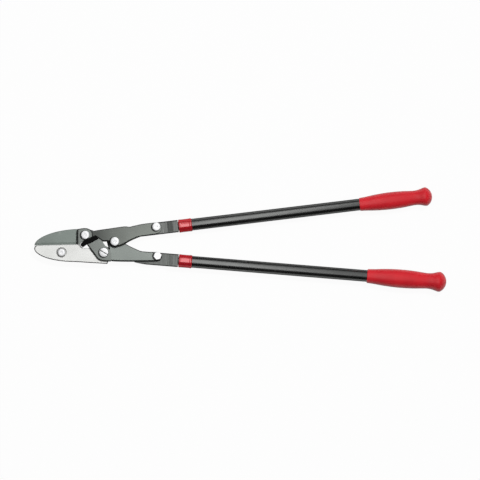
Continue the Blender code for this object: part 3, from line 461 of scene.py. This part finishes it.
@dataclass(frozen=True)
class BrightMetal:
    """Bare or plated bright metal with brushed lines, slow stains, painted shade in its recess and on
    its bevels.
    """

    name: str
    colour: Colour
    shade: Colour
    roughness: float = 0.3
    angle: float = 0.0
    lines: float = 700.0
    bump: float = 0.1
    metallic: float = 1.0
    recess: Zone | None = None
    recess_shade: float = 0.16
    edge: float = 1.0
    flat: float = 0.97
    lean: float = 0.84
    grains: float = 900.0
    stains: float = 30.0
    stain_ends: tuple[float, float] = (0.42, 0.72)
    stretch: float = 0.03
    grain_share: float = 0.4
    spread: tuple[float, float] = (0.05, 0.08)

    def build(self) -> bpy.types.Material:
        """Makes the material.

        Returns:
            The finished material.
        """
        shader = Shader(self.name)
        w = shader.w
        grain = shader.group(GRAIN, Scale=self.grains, Cloud_Scale=self.stains)
        brush = shader.group(BRUSH, Angle=self.angle, Lines=self.lines, Stretch=self.stretch)
        base = w.mix(w.ramp(grain["Cloud"], *self.stain_ends), self.colour, self.shade)
        # Painted shade at the bottom of the recess or the slot.
        if self.recess:
            x, y, radius, level, floor = self.recess
            recess_shading = shader.group(RECESS, X=x, Y=y, Radius=radius, Level=level, Floor=floor)
            base = w.mix(recess_shading["Mask"], base, toned(self.shade, self.recess_shade))
        # Painted shade: bevels take a darker tone of the dull colour, while upright walls keep the dull
        # colour.
        if self.edge < 1.0:
            edges = shader.group(EDGES, Flat=self.flat, Edge=self.lean)
            rim = w.mix(edges["Wall"], toned(self.shade, self.edge), self.shade)
            base = w.mix(edges["Mask"], base, rim)
        shader.rough(brush["Height"], self.roughness, self.spread)
        height = w.math("MULTIPLY_ADD", grain["Height"], self.grain_share, brush["Height"])
        shader.set({"Base Color": base, "Metallic": self.metallic,
                    "Normal": w.bump(height, self.bump, FINE_DEPTH)})
        return shader.material


@dataclass(frozen=True)
class GlossCoat:
    """Glossy lacquer or enamel: smooth, with orange peel and a clear coat that fades at the rim."""

    name: str
    colour: Colour
    deep: Colour
    roughness: float = 0.22
    coat: float = 0.0
    coat_ior: float = 1.6
    coat_ends: tuple[float, float] = (0.25, 0.42)
    specular: float = 1.0
    metallic: float = 0.0
    rim: float = 1.0
    peel: float = 0.01
    coat_roughness: float = 0.08
    grains: float = 420.0
    clouds: float = 18.0
    spread: tuple[float, float] = (0.03, 0.05)

    def build(self) -> bpy.types.Material:
        """Makes the material.

        Returns:
            The finished material.
        """
        shader = Shader(self.name)
        w = shader.w
        grain = shader.group(GRAIN, Scale=self.grains, Cloud_Scale=self.clouds)
        shader.rough(grain["Cloud"], self.roughness, self.spread)
        shader.set({"Base Color": w.mix(w.ramp(grain["Cloud"], *MIDDLE), self.deep, self.colour),
                    "Coat Roughness": self.coat_roughness, "Coat IOR": self.coat_ior,
                    "Specular IOR Level": self.specular, "Specular Tint": (self.rim,) * 3,
                    "Metallic": self.metallic,
                    "Normal": w.bump(grain["Height"], self.peel, SOFT_DEPTH)})
        if self.coat:
            facing = w.node("ShaderNodeLayerWeight", {"Blend": 0.5}).outputs["Facing"]
            shader.set({"Coat Weight": w.ramp(facing, *self.coat_ends, self.coat, 0.0)})
        return shader.material


@dataclass(frozen=True)
class SoftPlastic:
    """Dipped vinyl or rubber: satin, finely pebbled, a little lighter where it is rubbed."""

    name: str
    colour: Colour
    deep: Colour
    roughness: float = 0.45
    coat: float = 0.0
    specular: float = 0.5
    coat_roughness: float = 0.3
    pebbles: float = 900.0
    bump: float = 0.15
    clouds: float = 26.0
    cloud_ends: tuple[float, float] = (0.32, 0.68)
    spread: tuple[float, float] = (0.06, 0.08)

    def build(self) -> bpy.types.Material:
        """Makes the material.

        Returns:
            The finished material.
        """
        shader = Shader(self.name)
        w = shader.w
        grain = shader.group(GRAIN, Scale=self.pebbles, Cloud_Scale=self.clouds)
        shader.rough(grain["Height"], self.roughness, self.spread)
        cloud = w.ramp(grain["Cloud"], *self.cloud_ends)
        shader.set({"Base Color": w.mix(cloud, self.deep, self.colour), "Coat Weight": self.coat,
                    "Coat Roughness": self.coat_roughness, "Specular IOR Level": self.specular,
                    "Normal": w.bump(grain["Height"], self.bump, SOFT_DEPTH)})
        return shader.material


def middle_of(node: str) -> Vector:
    """Middle of a CAD node's box, in metres."""
    low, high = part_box(node)
    return (low + high) / 2


def recess_of(node: str, radius: float, top: float, depth: float,
              shift: tuple[float, float] = (0.0, 0.0)) -> Zone:
    """Place and size of a recess round a node's middle.

    Args:
        node: CAD node in the middle of the recess.
        radius: Radius of the recess in millimetres.
        top: Its upper end below the node's top, in millimetres.
        depth: Its lower end below the node's top, in millimetres.
        shift: How far its middle lies off the node's, in millimetres.

    Returns:
        X, Y, radius, upper and lower level in metres.
    """
    middle, high = middle_of(node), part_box(node)[1]
    return (middle.x + shift[0] * MM, middle.y + shift[1] * MM, radius * MM,
            high.z - top * MM, high.z - depth * MM)


def painted_shade_place(x: float, y: float, inner: float, outer: float, tone: float) -> Zone:
    """Soft-edged place of painted shade; all but the tone in millimetres, from the main pivot."""
    return (MAIN_PIVOT.x + x * MM, MAIN_PIVOT.y + y * MM, inner * MM, outer * MM, tone)


def painted_bolt_shadow(node: str, radius: float, tone: float = 0.08) -> Zone:
    """Painted shadow of a bolt head: a dark crescent on its lower left side.

    Args:
        node: CAD node of the bolt.
        radius: Radius of its head in millimetres.
        tone: What is left of the steel's colour there.

    Returns:
        X, Y, inner and outer radius in metres, and the tone.
    """
    left, down, inner, outer = 1.7, 0.9, 0.7, 1.7
    middle = middle_of(node)
    return (middle.x - left * MM, middle.y - down * MM, (radius + inner) * MM,
            (radius + outer) * MM, tone)


BLADE_STEEL = (0.196, 0.228, 0.208)
LINK_STEEL = (0.195, 0.212, 0.198)
LEVER_STEEL = (0.186, 0.202, 0.184)
# Lower lever: the lever coating made lighter, as painted light.
LOWER_STEEL = (0.24, 0.265, 0.247)
NECK_STEEL = (0.132, 0.139, 0.132)
ALUMINIUM = (0.79, 0.795, 0.775)
DULL_ALUMINIUM = (0.72, 0.725, 0.705)
BRIGHT_ZINC = (0.93, 0.93, 0.94)
DULL_ZINC = (0.84, 0.85, 0.86)
BLADE_HEAD, HANDLE_HEAD, NECK_HEAD, ANVIL_HEAD, MAIN_HEAD = 8.2, 8.6, 8.2, 7.4, 9.0
# Edge tones below 1 are painted shade on bevels and walls.
FINISHES = {
    Finish.BLADE: CoatedSteel("blade_coating", BLADE_STEEL, edge=0.7, roughness=0.4),
    Finish.LINK: CoatedSteel(
        "link_coating", LINK_STEEL, edge=0.05, roughness=0.44,
        zones=(painted_bolt_shadow("blade_bolt", BLADE_HEAD), painted_bolt_shadow("main_bolt", MAIN_HEAD, 0.3))),
    Finish.UPPER_LEVER: CoatedSteel(
        "upper_lever_coating", LEVER_STEEL, edge=0.05, roughness=0.44,
        # Painted shade on the upper lever's left part near the links, and painted shadows of its bolt
        # heads.
        zones=(painted_shade_place(-24.0, 34.0, 14.0, 74.0, 0.38), painted_bolt_shadow("handle_bolt", HANDLE_HEAD),
               painted_bolt_shadow("upper_neck_bolt", NECK_HEAD))),
    Finish.LOWER_LEVER: CoatedSteel(
        "lower_lever_coating", LOWER_STEEL, edge=0.05, roughness=0.44,
        zones=(painted_bolt_shadow("lower_neck_bolt", NECK_HEAD),)),
    # The necks' slope tones are painted: shade on the upper neck's ramp, light on the lower neck's ramp.
    Finish.UPPER_NECK: CoatedSteel(
        "upper_neck_coating", NECK_STEEL, edge=0.12, roughness=0.4, angle=1.57, flat=0.98,
        lean=0.9, slope=0.32, streaks=0.25, zones=(painted_bolt_shadow("upper_neck_bolt", NECK_HEAD),)),
    Finish.LOWER_NECK: CoatedSteel(
        "lower_neck_coating", NECK_STEEL, edge=0.12, roughness=0.4, angle=1.57, flat=0.98,
        lean=0.9, slope=1.5, streaks=0.25),
    Finish.ANVIL: BrightMetal(
        "anvil_aluminium", ALUMINIUM, DULL_ALUMINIUM, 0.38, 0.05, metallic=0.15, edge=0.08,
        # Painted shade in the bolt's recess, moved to the lower left where the head's shadow falls.
        recess_shade=0.3, recess=recess_of("anvil_bolt", 10.0, 1.6, 5.5, (-1.6, -1.0))),
    Finish.ZINC: BrightMetal("bright_zinc", BRIGHT_ZINC, DULL_ZINC, 0.26, 0.7, 500.0, 0.05, 0.35),
    Finish.SLOTTED_ZINC: BrightMetal(
        "slotted_zinc", BRIGHT_ZINC, DULL_ZINC, 0.26, 0.7, 500.0, 0.05, 0.35,
        # Painted shade in the main bolt's slot.
        recess=recess_of("main_bolt", 12.0, 1.2, 2.6)),
    Finish.TUBE: GlossCoat("black_enamel", (0.15, 0.153, 0.15), (0.14, 0.143, 0.14), 0.25,
                           metallic=1.0, rim=0.2),
    Finish.FERRULE: GlossCoat("red_lacquer", (0.58, 0.012, 0.022), (0.44, 0.007, 0.015), 0.24,
                              coat=1.0, coat_ior=1.95, specular=0.4, metallic=0.35, rim=0.1,
                              peel=0.004),
    Finish.GRIP: SoftPlastic("red_vinyl", (0.6, 0.015, 0.024), (0.5, 0.012, 0.02), 0.42, coat=0.15),
    Finish.RUBBER: SoftPlastic("black_rubber", (0.004, 0.004, 0.004), (0.002, 0.002, 0.002), 0.8,
                               specular=0.2),
}
MATERIALS = {finish: look.build() for finish, look in FINISHES.items()}


# Mesh building

def mesh_object(name: str, points: np.ndarray, quads: np.ndarray, smooth_degrees: float = 32.0
                ) -> bpy.types.Object:
    """Mesh from arrays, shaded smooth apart from its sharp edges.

    Args:
        name: Name of the object.
        points: Rows of x, y, z in metres, in the tool's frame.
        quads: Rows of corner numbers; a corner given twice makes a triangle.
        smooth_degrees: Edges sharper than this stay sharp.

    Returns:
        The object, at the origin.
    """
    faces = [tuple(dict.fromkeys(row)) for row in quads.tolist()]
    mesh = bpy.data.meshes.new(name)
    mesh.from_pydata(points.tolist(), [], [face for face in faces if len(face) > 2])
    mesh.validate()
    mesh.polygons.foreach_set("use_smooth", np.ones(len(mesh.polygons), bool))
    mesh.set_sharp_from_angle(angle=math.radians(smooth_degrees))
    obj = bpy.data.objects.new(name, mesh)
    bpy.context.scene.collection.objects.link(obj)
    return obj


def turned_arrays(profile: np.ndarray, segments: int = ROUND) -> tuple[np.ndarray, np.ndarray]:
    """Surface of revolution about Z.

    Each profile point (height, radius) sweeps a ring: x = r cos t, y = r sin t, z = height.
    A point of zero radius is a pole and its ring shares one vertex. A closed profile, whose
    last point is its first, joins its last ring to the first.

    Args:
        profile: Rows of height and radius, outside from low to high.
        segments: Points round a ring.

    Returns:
        The points and the faces.
    """
    closed = bool(np.allclose(profile[0], profile[-1]))
    rows = profile[:-1] if closed else profile
    angle = np.linspace(0.0, 2.0 * math.pi, segments, endpoint=False)
    height, radius = rows[:, 0:1], rows[:, 1:2]
    grid = np.stack([radius * np.cos(angle), radius * np.sin(angle),
                     np.broadcast_to(height, (len(rows), segments))], axis=-1)
    number = np.arange(len(rows) * segments).reshape(len(rows), segments)
    poles = rows[:, 1] < TINY
    number[poles] = number[poles][:, 0:1]
    upper = np.roll(number, -1, axis=0) if closed else number[1:]
    lower = number if closed else number[:-1]
    quads = np.stack([lower, np.roll(lower, -1, axis=1), np.roll(upper, -1, axis=1), upper], axis=-1)
    used, packed = np.unique(quads.reshape(-1), return_inverse=True)
    return grid.reshape(-1, 3)[used], packed.reshape(-1, 4)


def rounded(profile: list[tuple[float, float]], radius: float, steps: int = 4) -> np.ndarray:
    """Profile with its inner corners rounded.

    Each corner is replaced by a quadratic curve that leaves and meets the two sides at most
    radius away from it, and no further than a third of a side.

    Args:
        profile: Points of height and radius.
        radius: Length cut off each side.
        steps: Pieces of the curve.

    Returns:
        The new profile.
    """
    points = np.asarray(profile, float)
    share = np.linspace(0.0, 1.0, steps + 1)[:, None]
    rows = [points[:1]]
    for before, corner, after in zip(points[:-2], points[1:-1], points[2:]):
        back, forth = before - corner, after - corner
        reach_back = min(radius, np.linalg.norm(back) / 3)
        reach_forth = min(radius, np.linalg.norm(forth) / 3)
        start = corner + back / max(np.linalg.norm(back), TINY) * reach_back
        end = corner + forth / max(np.linalg.norm(forth), TINY) * reach_forth
        rows.append((1 - share) ** 2 * start + 2 * share * (1 - share) * corner + share ** 2 * end)
    rows.append(points[-1:])
    return np.concatenate(rows)


def spline(points: list[tuple[float, float]], count: int) -> np.ndarray:
    """Smooth curve through points, evenly spaced by length.

    Between two points it is the cubic that meets both with the slopes of their neighbours,
    taken over the length of the straight lines between the points.

    Args:
        points: Height and radius.
        count: Number of points wanted.

    Returns:
        Rows of height and radius.
    """
    knots = np.asarray(points, float)
    length = np.concatenate([[0.0], np.cumsum(np.linalg.norm(np.diff(knots, axis=0), axis=1))])
    slope = np.gradient(knots, length, axis=0)
    where = np.linspace(0.0, length[-1], count)
    index = np.clip(np.searchsorted(length, where, side="right") - 1, 0, len(knots) - 2)
    span = (length[index + 1] - length[index])[:, None]
    t = (where[:, None] - length[index][:, None]) / span
    first, second = knots[index], knots[index + 1]
    return ((2 * t ** 3 - 3 * t ** 2 + 1) * first + (t ** 3 - 2 * t ** 2 + t) * span * slope[index]
            + (3 * t ** 2 - 2 * t ** 3) * second + (t ** 3 - t ** 2) * span * slope[index + 1])


def dress(obj: bpy.types.Object, finish: Finish) -> None:
    """Gives an object the material of a finish."""
    obj.data.materials.clear()
    obj.data.materials.append(MATERIALS[finish])


def place_piece(obj: bpy.types.Object, body: str, finish: Finish, node: str) -> bpy.types.Object:
    """Dresses a new piece, lets it ride on its body and stand for a CAD node.

    Args:
        obj: The piece, in place in the tool's frame.
        body: Name of the CAD body.
        finish: Its finish, one of those that have a slot in the record.
        node: CAD node that it replaces.

    Returns:
        The piece.
    """
    dress(obj, finish)
    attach(obj, body)
    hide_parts(node)
    log.info("made %s on %s in place of %s", obj.name, body, node)
    return obj


# Handles

@dataclass
class Handle:
    """One handle's round pieces: collar, tube and grip, in millimetres."""

    stem: str
    body: str
    axis_y: float
    angle: float
    reach: float
    grip_length: float
    grip_scale: float
    ferrule_x: float = 149.2
    tube_radius: float = 11.75
    tube_wall: float = 1.5
    ferrule_length: float = 27.0
    ferrule_radius: float = 13.2
    ferrule_face: float = 0.6
    ferrule_waist: float = 0.25
    ferrule_lip: float = 3.0
    ferrule_round: float = 0.9
    tang_radius: float = 9.6
    end_wall: float = 5.0
    lip_knots: list[tuple[float, float]] = field(default_factory=lambda: [
        (0.0, 12.2), (0.25, 12.6), (0.8, 12.86), (1.6, 12.98)])
    grip_knots: list[tuple[float, float]] = field(default_factory=lambda: [
        (0.022, 13.25), (0.05, 13.5), (0.08, 13.8), (0.15, 14.9), (0.22, 15.9), (0.29, 16.6),
        (0.36, 17.05), (0.43, 17.2), (0.50, 17.05), (0.565, 16.7), (0.635, 16.0), (0.70, 15.1),
        (0.77, 14.6), (0.82, 15.4), (0.86, 17.0), (0.885, 18.1), (0.902, 18.55)])
    dome_knots: list[tuple[float, float]] = field(default_factory=lambda: [
        (0.914, 18.65), (0.924, 18.4), (0.936, 17.4), (0.955, 15.3), (0.972, 12.4), (0.986, 8.8),
        (0.995, 5.0), (1.0, 0.0)])
    grip_steps: int = 60
    dome_steps: int = 26
    weld_reach: float = 0.00001

    def matrix(self) -> Matrix:
        """Frame of the handle.

        Returns:
            Matrix whose Z runs along the tube from the collar's front face.
        """
        turn = math.radians(self.angle)
        along = Vector((math.cos(turn), math.sin(turn), 0.0))
        front = Vector((0.0, 0.0, 1.0))
        matrix = Matrix((front, along.cross(front), along)).transposed().to_4x4()
        matrix.translation = MAIN_PIVOT + Vector((self.ferrule_x, self.axis_y, 0.0)) * MM
        return matrix

    def put(self, name: str, points: np.ndarray, quads: np.ndarray, finish: Finish, node: str
            ) -> bpy.types.Object:
        """Puts a shape turned about the handle's axis in place of a CAD node.

        Args:
            name: Last part of the piece's name.
            points: Rows of x, y, z in millimetres, with z along the handle.
            quads: Rows of corner numbers.
            finish: Its finish.
            node: Last part of the CAD node's name.

        Returns:
            The piece.
        """
        local = np.column_stack([points * MM, np.ones(len(points))])
        world = local @ np.array(self.matrix()).T
        obj = mesh_object(f"{self.stem}_{name}", world[:, :3], quads)
        return place_piece(obj, self.body, finish, f"{self.stem}_{node}")

    def build_ferrule(self) -> None:
        """Collar with rolled ends and a faint waist between two beads."""
        outer, inner, length = self.ferrule_radius, self.tube_radius + GAP, self.ferrule_length
        face, lip, waist = self.ferrule_face, self.ferrule_lip, outer - self.ferrule_waist
        outside = [(face, self.tang_radius), (face, outer - 0.9), (1.7, outer - 0.05), (3.6, outer),
                   (5.2, waist), (length - 5.0, waist), (length - 3.6, outer),
                   (length - 1.4, outer), (length, outer - 0.7), (length, inner)]
        inside = [(lip, inner), (lip, self.tang_radius), (face, self.tang_radius)]
        profile = rounded(outside + inside, self.ferrule_round)
        self.put("collar", *turned_arrays(profile), Finish.FERRULE, "ferrule")

    def build_tube(self) -> None:
        """Drawn steel tube, open at both ends."""
        start, end = self.ferrule_lip + GAP, self.reach - self.end_wall - GAP
        bore = self.tube_radius - self.tube_wall
        profile = np.array([(start, bore), (start, self.tube_radius), (end, self.tube_radius),
                            (end, bore), (start, bore)])
        self.put("handle_tube", *turned_arrays(profile), Finish.TUBE, "tube")

    def build_grip(self) -> None:
        """Flared grip with a rolled front lip, a domed end and a pocket for the tube."""
        first, length, scale = self.reach - self.grip_length, self.grip_length, self.grip_scale
        inner, pocket = self.tube_radius + GAP, self.reach - self.end_wall
        lip = [(first + up, r * scale) for up, r in self.lip_knots]
        body = spline([(first + length * s, r * scale) for s, r in self.grip_knots], self.grip_steps)
        dome = spline([(first + length * s, r * scale) for s, r in self.dome_knots], self.dome_steps)
        dome[-1] = (self.reach, 0.0)
        outside = np.concatenate([[(first, inner)], lip, body, dome])
        inside = np.array([(pocket, 0.0), (pocket, inner), (first, inner)])
        outer_points, outer_quads = turned_arrays(outside)
        inner_points, inner_quads = turned_arrays(inside)
        points = np.concatenate([outer_points, inner_points])
        quads = np.concatenate([outer_quads, inner_quads + len(outer_points)])
        grip = self.put("hand_grip", points, quads, Finish.GRIP, "grip")
        grip.modifiers.new("weld", "WELD").merge_threshold = self.weld_reach

    def build(self) -> None:
        """Makes the collar, the tube and the grip."""
        self.build_ferrule()
        self.build_tube()
        self.build_grip()


# Fasteners

@dataclass
class RoundBolt:
    """Bolt with a low domed head that has a small dimple, in millimetres."""

    node: str
    body: str
    radius: float
    shank: float
    head: float = 4.6
    chamfer: float = 0.7
    rim: float = 0.35
    corner: float = 0.8
    corner_steps: int = 5
    dome: tuple[tuple[float, float], ...] = ((0.68, 1.0), (0.88, 0.93), (0.97, 0.72), (1.0, 0.36))
    dimple: tuple[tuple[float, float], ...] = ((0.35, 0.26), (0.3, 0.0))

    def build(self) -> None:
        """Turns the bolt in the place of its CAD node.

        The dome is given as shares of the head's height and radius, the dimple as a depth
        below its top and a share of the radius.
        """
        low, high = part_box(self.node)
        middle = middle_of(self.node)
        bottom, top = low.z / MM, high.z / MM
        seat, r = top - self.head, self.radius
        profile = [(bottom, 0.0), (bottom, self.shank - self.chamfer),
                   (bottom + self.chamfer, self.shank), (seat, self.shank),
                   (seat, r - self.rim), (seat + self.rim, r)]
        profile += [(seat + self.head * up, r * out) for up, out in self.dome]
        profile += [(seat + self.head - down, r * out) for down, out in self.dimple]
        points, quads = turned_arrays(rounded(profile, self.corner, self.corner_steps), BOLT_ROUND)
        points = points * MM + np.array([middle.x, middle.y, 0.0])
        obj = mesh_object(f"{self.node}_turned", points, quads)
        place_piece(obj, self.body, Finish.ZINC, self.node)


# Carried-over CAD nodes

@dataclass
class CadFinishes:
    """Finishes of the CAD nodes that keep their own shape."""

    nodes: dict[Finish, tuple[str, ...]] = field(default_factory=lambda: {
        Finish.BLADE: ("blade",),
        Finish.LINK: ("front_link", "back_link"),
        Finish.UPPER_LEVER: ("upper_lever",),
        Finish.LOWER_LEVER: ("lower_lever", "anvil_arm"),
        Finish.UPPER_NECK: ("upper_neck",),
        Finish.LOWER_NECK: ("lower_neck",),
        Finish.ANVIL: ("anvil_jaw",),
        Finish.RUBBER: ("rubber_buffer",),
        Finish.ZINC: ("blade_nut", "blade_spacer", "anvil_nut", "main_nut", "handle_nut", "link_rivet",
                      "upper_neck_nut", "lower_neck_bolt", "lower_neck_nut"),
        Finish.SLOTTED_ZINC: ("main_bolt",),
    })

    def build(self) -> None:
        """Puts each finish on its nodes."""
        for finish, names in self.nodes.items():
            for name in names:
                dress(frame["nodes"][name], finish)
                log.info("finished %s as %s", name, finish.value)


# Studio

@dataclass
class Studio:
    """Pale floor, soft light from above and the upper right, and the camera."""

    centre_px: tuple[float, float] = (240.0, 240.0)
    pivot_px: tuple[float, float] = (103.8, 252.3)
    mm_per_px: float = 2.0
    picture_px: float = 480.0
    camera_height: float = 2.0
    floor_height: float = -0.0004
    floor_half: float = 4.0
    floor_grey: float = 0.62
    floor_roughness: float = 0.9
    floor_glow: float = 0.955
    floor_mirrored: float = 0.5
    box_low: float = -20.0
    box_high: float = 68.0
    box_wide: float = 18.0
    box_soft: float = 7.0
    box_level: float = 0.68
    box_far: float = 0.9
    dark_level: float = 0.03
    horizon_level: float = 0.4
    horizon_ends: tuple[float, float] = (0.14, 0.05)
    strip_way: tuple[float, float] = (0.2375, 0.375)
    strip_size: tuple[float, float] = (0.275, 1.35)
    strip_height: float = 0.9
    strip_level: float = 1.65
    key_way: tuple[float, float, float] = (0.25, 0.35, 0.9)
    key_angle: float = 8.0
    key_level: float = 2.7

    @staticmethod
    def seen(w: Wiring) -> tuple[bpy.types.NodeSocket, bpy.types.NodeSocket]:
        """Which rays see the studio.

        Args:
            w: Wiring of the tree that asks.

        Returns:
            1 for rays of the camera and through glass, and 1 for mirrored rays.
        """
        rays = w.node("ShaderNodeLightPath").outputs
        direct = w.math("MAXIMUM", rays["Is Camera Ray"], rays["Is Transmission Ray"])
        return direct, rays["Is Glossy Ray"]

    def build_floor(self) -> None:
        """Floor that looks white to the camera and still takes a soft shadow."""
        half, z = self.floor_half, self.floor_height
        points = np.array([(-half, -half, z), (half, -half, z), (half, half, z), (-half, half, z)])
        floor = mesh_object("studio_floor", points, np.array([[0, 1, 2, 3]]))
        shader = Shader("studio_white")
        shader.set({"Base Color": (self.floor_grey,) * 3, "Roughness": self.floor_roughness})
        w, nodes = shader.w, shader.material.node_tree.nodes
        glow = w.node("ShaderNodeEmission", {"Color": (1.0, 1.0, 1.0), "Strength": 1.0})
        seen, mirrored = self.seen(w)
        share = w.math("MAXIMUM", w.math("MULTIPLY", seen, self.floor_glow),
                       w.math("MULTIPLY", mirrored, self.floor_mirrored))
        mix = w.node("ShaderNodeMixShader", {0: share, 1: nodes["Principled BSDF"].outputs[0],
                                             2: glow.outputs[0]})
        w.feed(nodes["Material Output"].inputs["Surface"], mix.outputs[0])
        floor.data.materials.append(shader.material)

    def build_world(self) -> None:
        """Soft box overhead that leans to the upper side, over a pale horizon; white to the camera."""
        world = bpy.data.worlds.new("studio_world")
        world.use_nodes = True
        bpy.context.scene.world = world
        w = Wiring(world.node_tree)
        way = w.apart(w.node("ShaderNodeTexCoord").outputs["Generated"])
        lean = w.math("ARCTAN2", way[1], way[2])
        aside = w.math("ABSOLUTE", w.math("ARCTAN2", way[0], way[2]))
        low, high, wide, soft = (math.radians(angle) for angle in (
            self.box_low, self.box_high, self.box_wide, self.box_soft))
        lit = w.math("MULTIPLY", w.ramp(lean, low - soft, low + soft),
                     w.ramp(lean, high + soft, high - soft))
        lit = w.math("MULTIPLY", lit, w.ramp(aside, wide + soft, wide - soft))
        lit = w.math("MULTIPLY", lit, w.ramp(lean, 0.0, high, 1.0, self.box_far))
        level = w.math("MULTIPLY_ADD", lit, self.box_level - self.dark_level, self.dark_level)
        horizon = w.ramp(way[2], *self.horizon_ends, 0.0, self.horizon_level)
        strength = w.math("MAXIMUM", w.math("MAXIMUM", level, horizon), self.seen(w)[0])
        background = world.node_tree.nodes["Background"].inputs
        w.feed(background["Strength"], strength)
        w.feed(background["Color"], (1.0, 1.0, 1.0))

    def build_strip(self) -> None:
        """Overhead soft box above the head and the first part of the tubes."""
        data = bpy.data.lights.new("overhead_box", "AREA")
        data.shape = "RECTANGLE"
        data.size, data.size_y = self.strip_size
        data.energy = math.pi * self.strip_size[0] * self.strip_size[1] * self.strip_level
        lamp = bpy.data.objects.new("overhead_box", data)
        lamp.location = MAIN_PIVOT + Vector((*self.strip_way, self.strip_height))
        bpy.context.scene.collection.objects.link(lamp)

    def build_key(self) -> None:
        """Soft sun from the upper right that shades the lower and left edges, unseen in the gloss."""
        data = bpy.data.lights.new("key_sun", "SUN")
        data.energy = self.key_level
        data.angle = math.radians(self.key_angle)
        lamp = bpy.data.objects.new("key_sun", data)
        lamp.rotation_euler = (-Vector(self.key_way)).to_track_quat("-Z", "Y").to_euler()
        lamp.visible_glossy = False
        bpy.context.scene.collection.objects.link(lamp)

    def build_camera(self) -> None:
        """Camera square above the front face, so that the photograph's pixels land in place."""
        offset = Vector((self.centre_px[0] - self.pivot_px[0],
                         self.pivot_px[1] - self.centre_px[1], 0.0))
        place = MAIN_PIVOT + offset * self.mm_per_px * MM
        data = bpy.data.cameras.new("camera")
        data.type = "ORTHO"
        data.ortho_scale = self.picture_px * self.mm_per_px * MM
        camera = bpy.data.objects.new("camera", data)
        camera.location = (place.x, place.y, MAIN_PIVOT.z + self.camera_height)
        bpy.context.scene.collection.objects.link(camera)
        bpy.context.scene.camera = camera

    def build(self) -> None:
        """Makes the floor, the light and the camera."""
        self.build_floor()
        self.build_world()
        self.build_strip()
        self.build_key()
        self.build_camera()
        bpy.context.scene.view_settings.view_transform = "Standard"


def main() -> None:
    """Builds the finishes, the handles, the bolts and the studio."""
    logging.basicConfig(level=logging.INFO, format="%(message)s")
    CadFinishes().build()
    Handle("upper", "upper_handle", axis_y=52.1, angle=6.85, reach=511.0, grip_length=146.0,
           grip_scale=1.0).build()
    Handle("lower", "lower_handle", axis_y=-16.8, angle=-4.63, reach=537.6, grip_length=159.0,
           grip_scale=1.07).build()
    RoundBolt("blade_bolt", "blade_side", BLADE_HEAD, 5.0).build()
    RoundBolt("handle_bolt", "upper_handle", HANDLE_HEAD, 5.0).build()
    RoundBolt("upper_neck_bolt", "upper_handle", NECK_HEAD, 4.0).build()
    RoundBolt("anvil_bolt", "anvil_side", ANVIL_HEAD, 4.0).build()
    Studio().build()


if __name__ == "__main__":
    main()
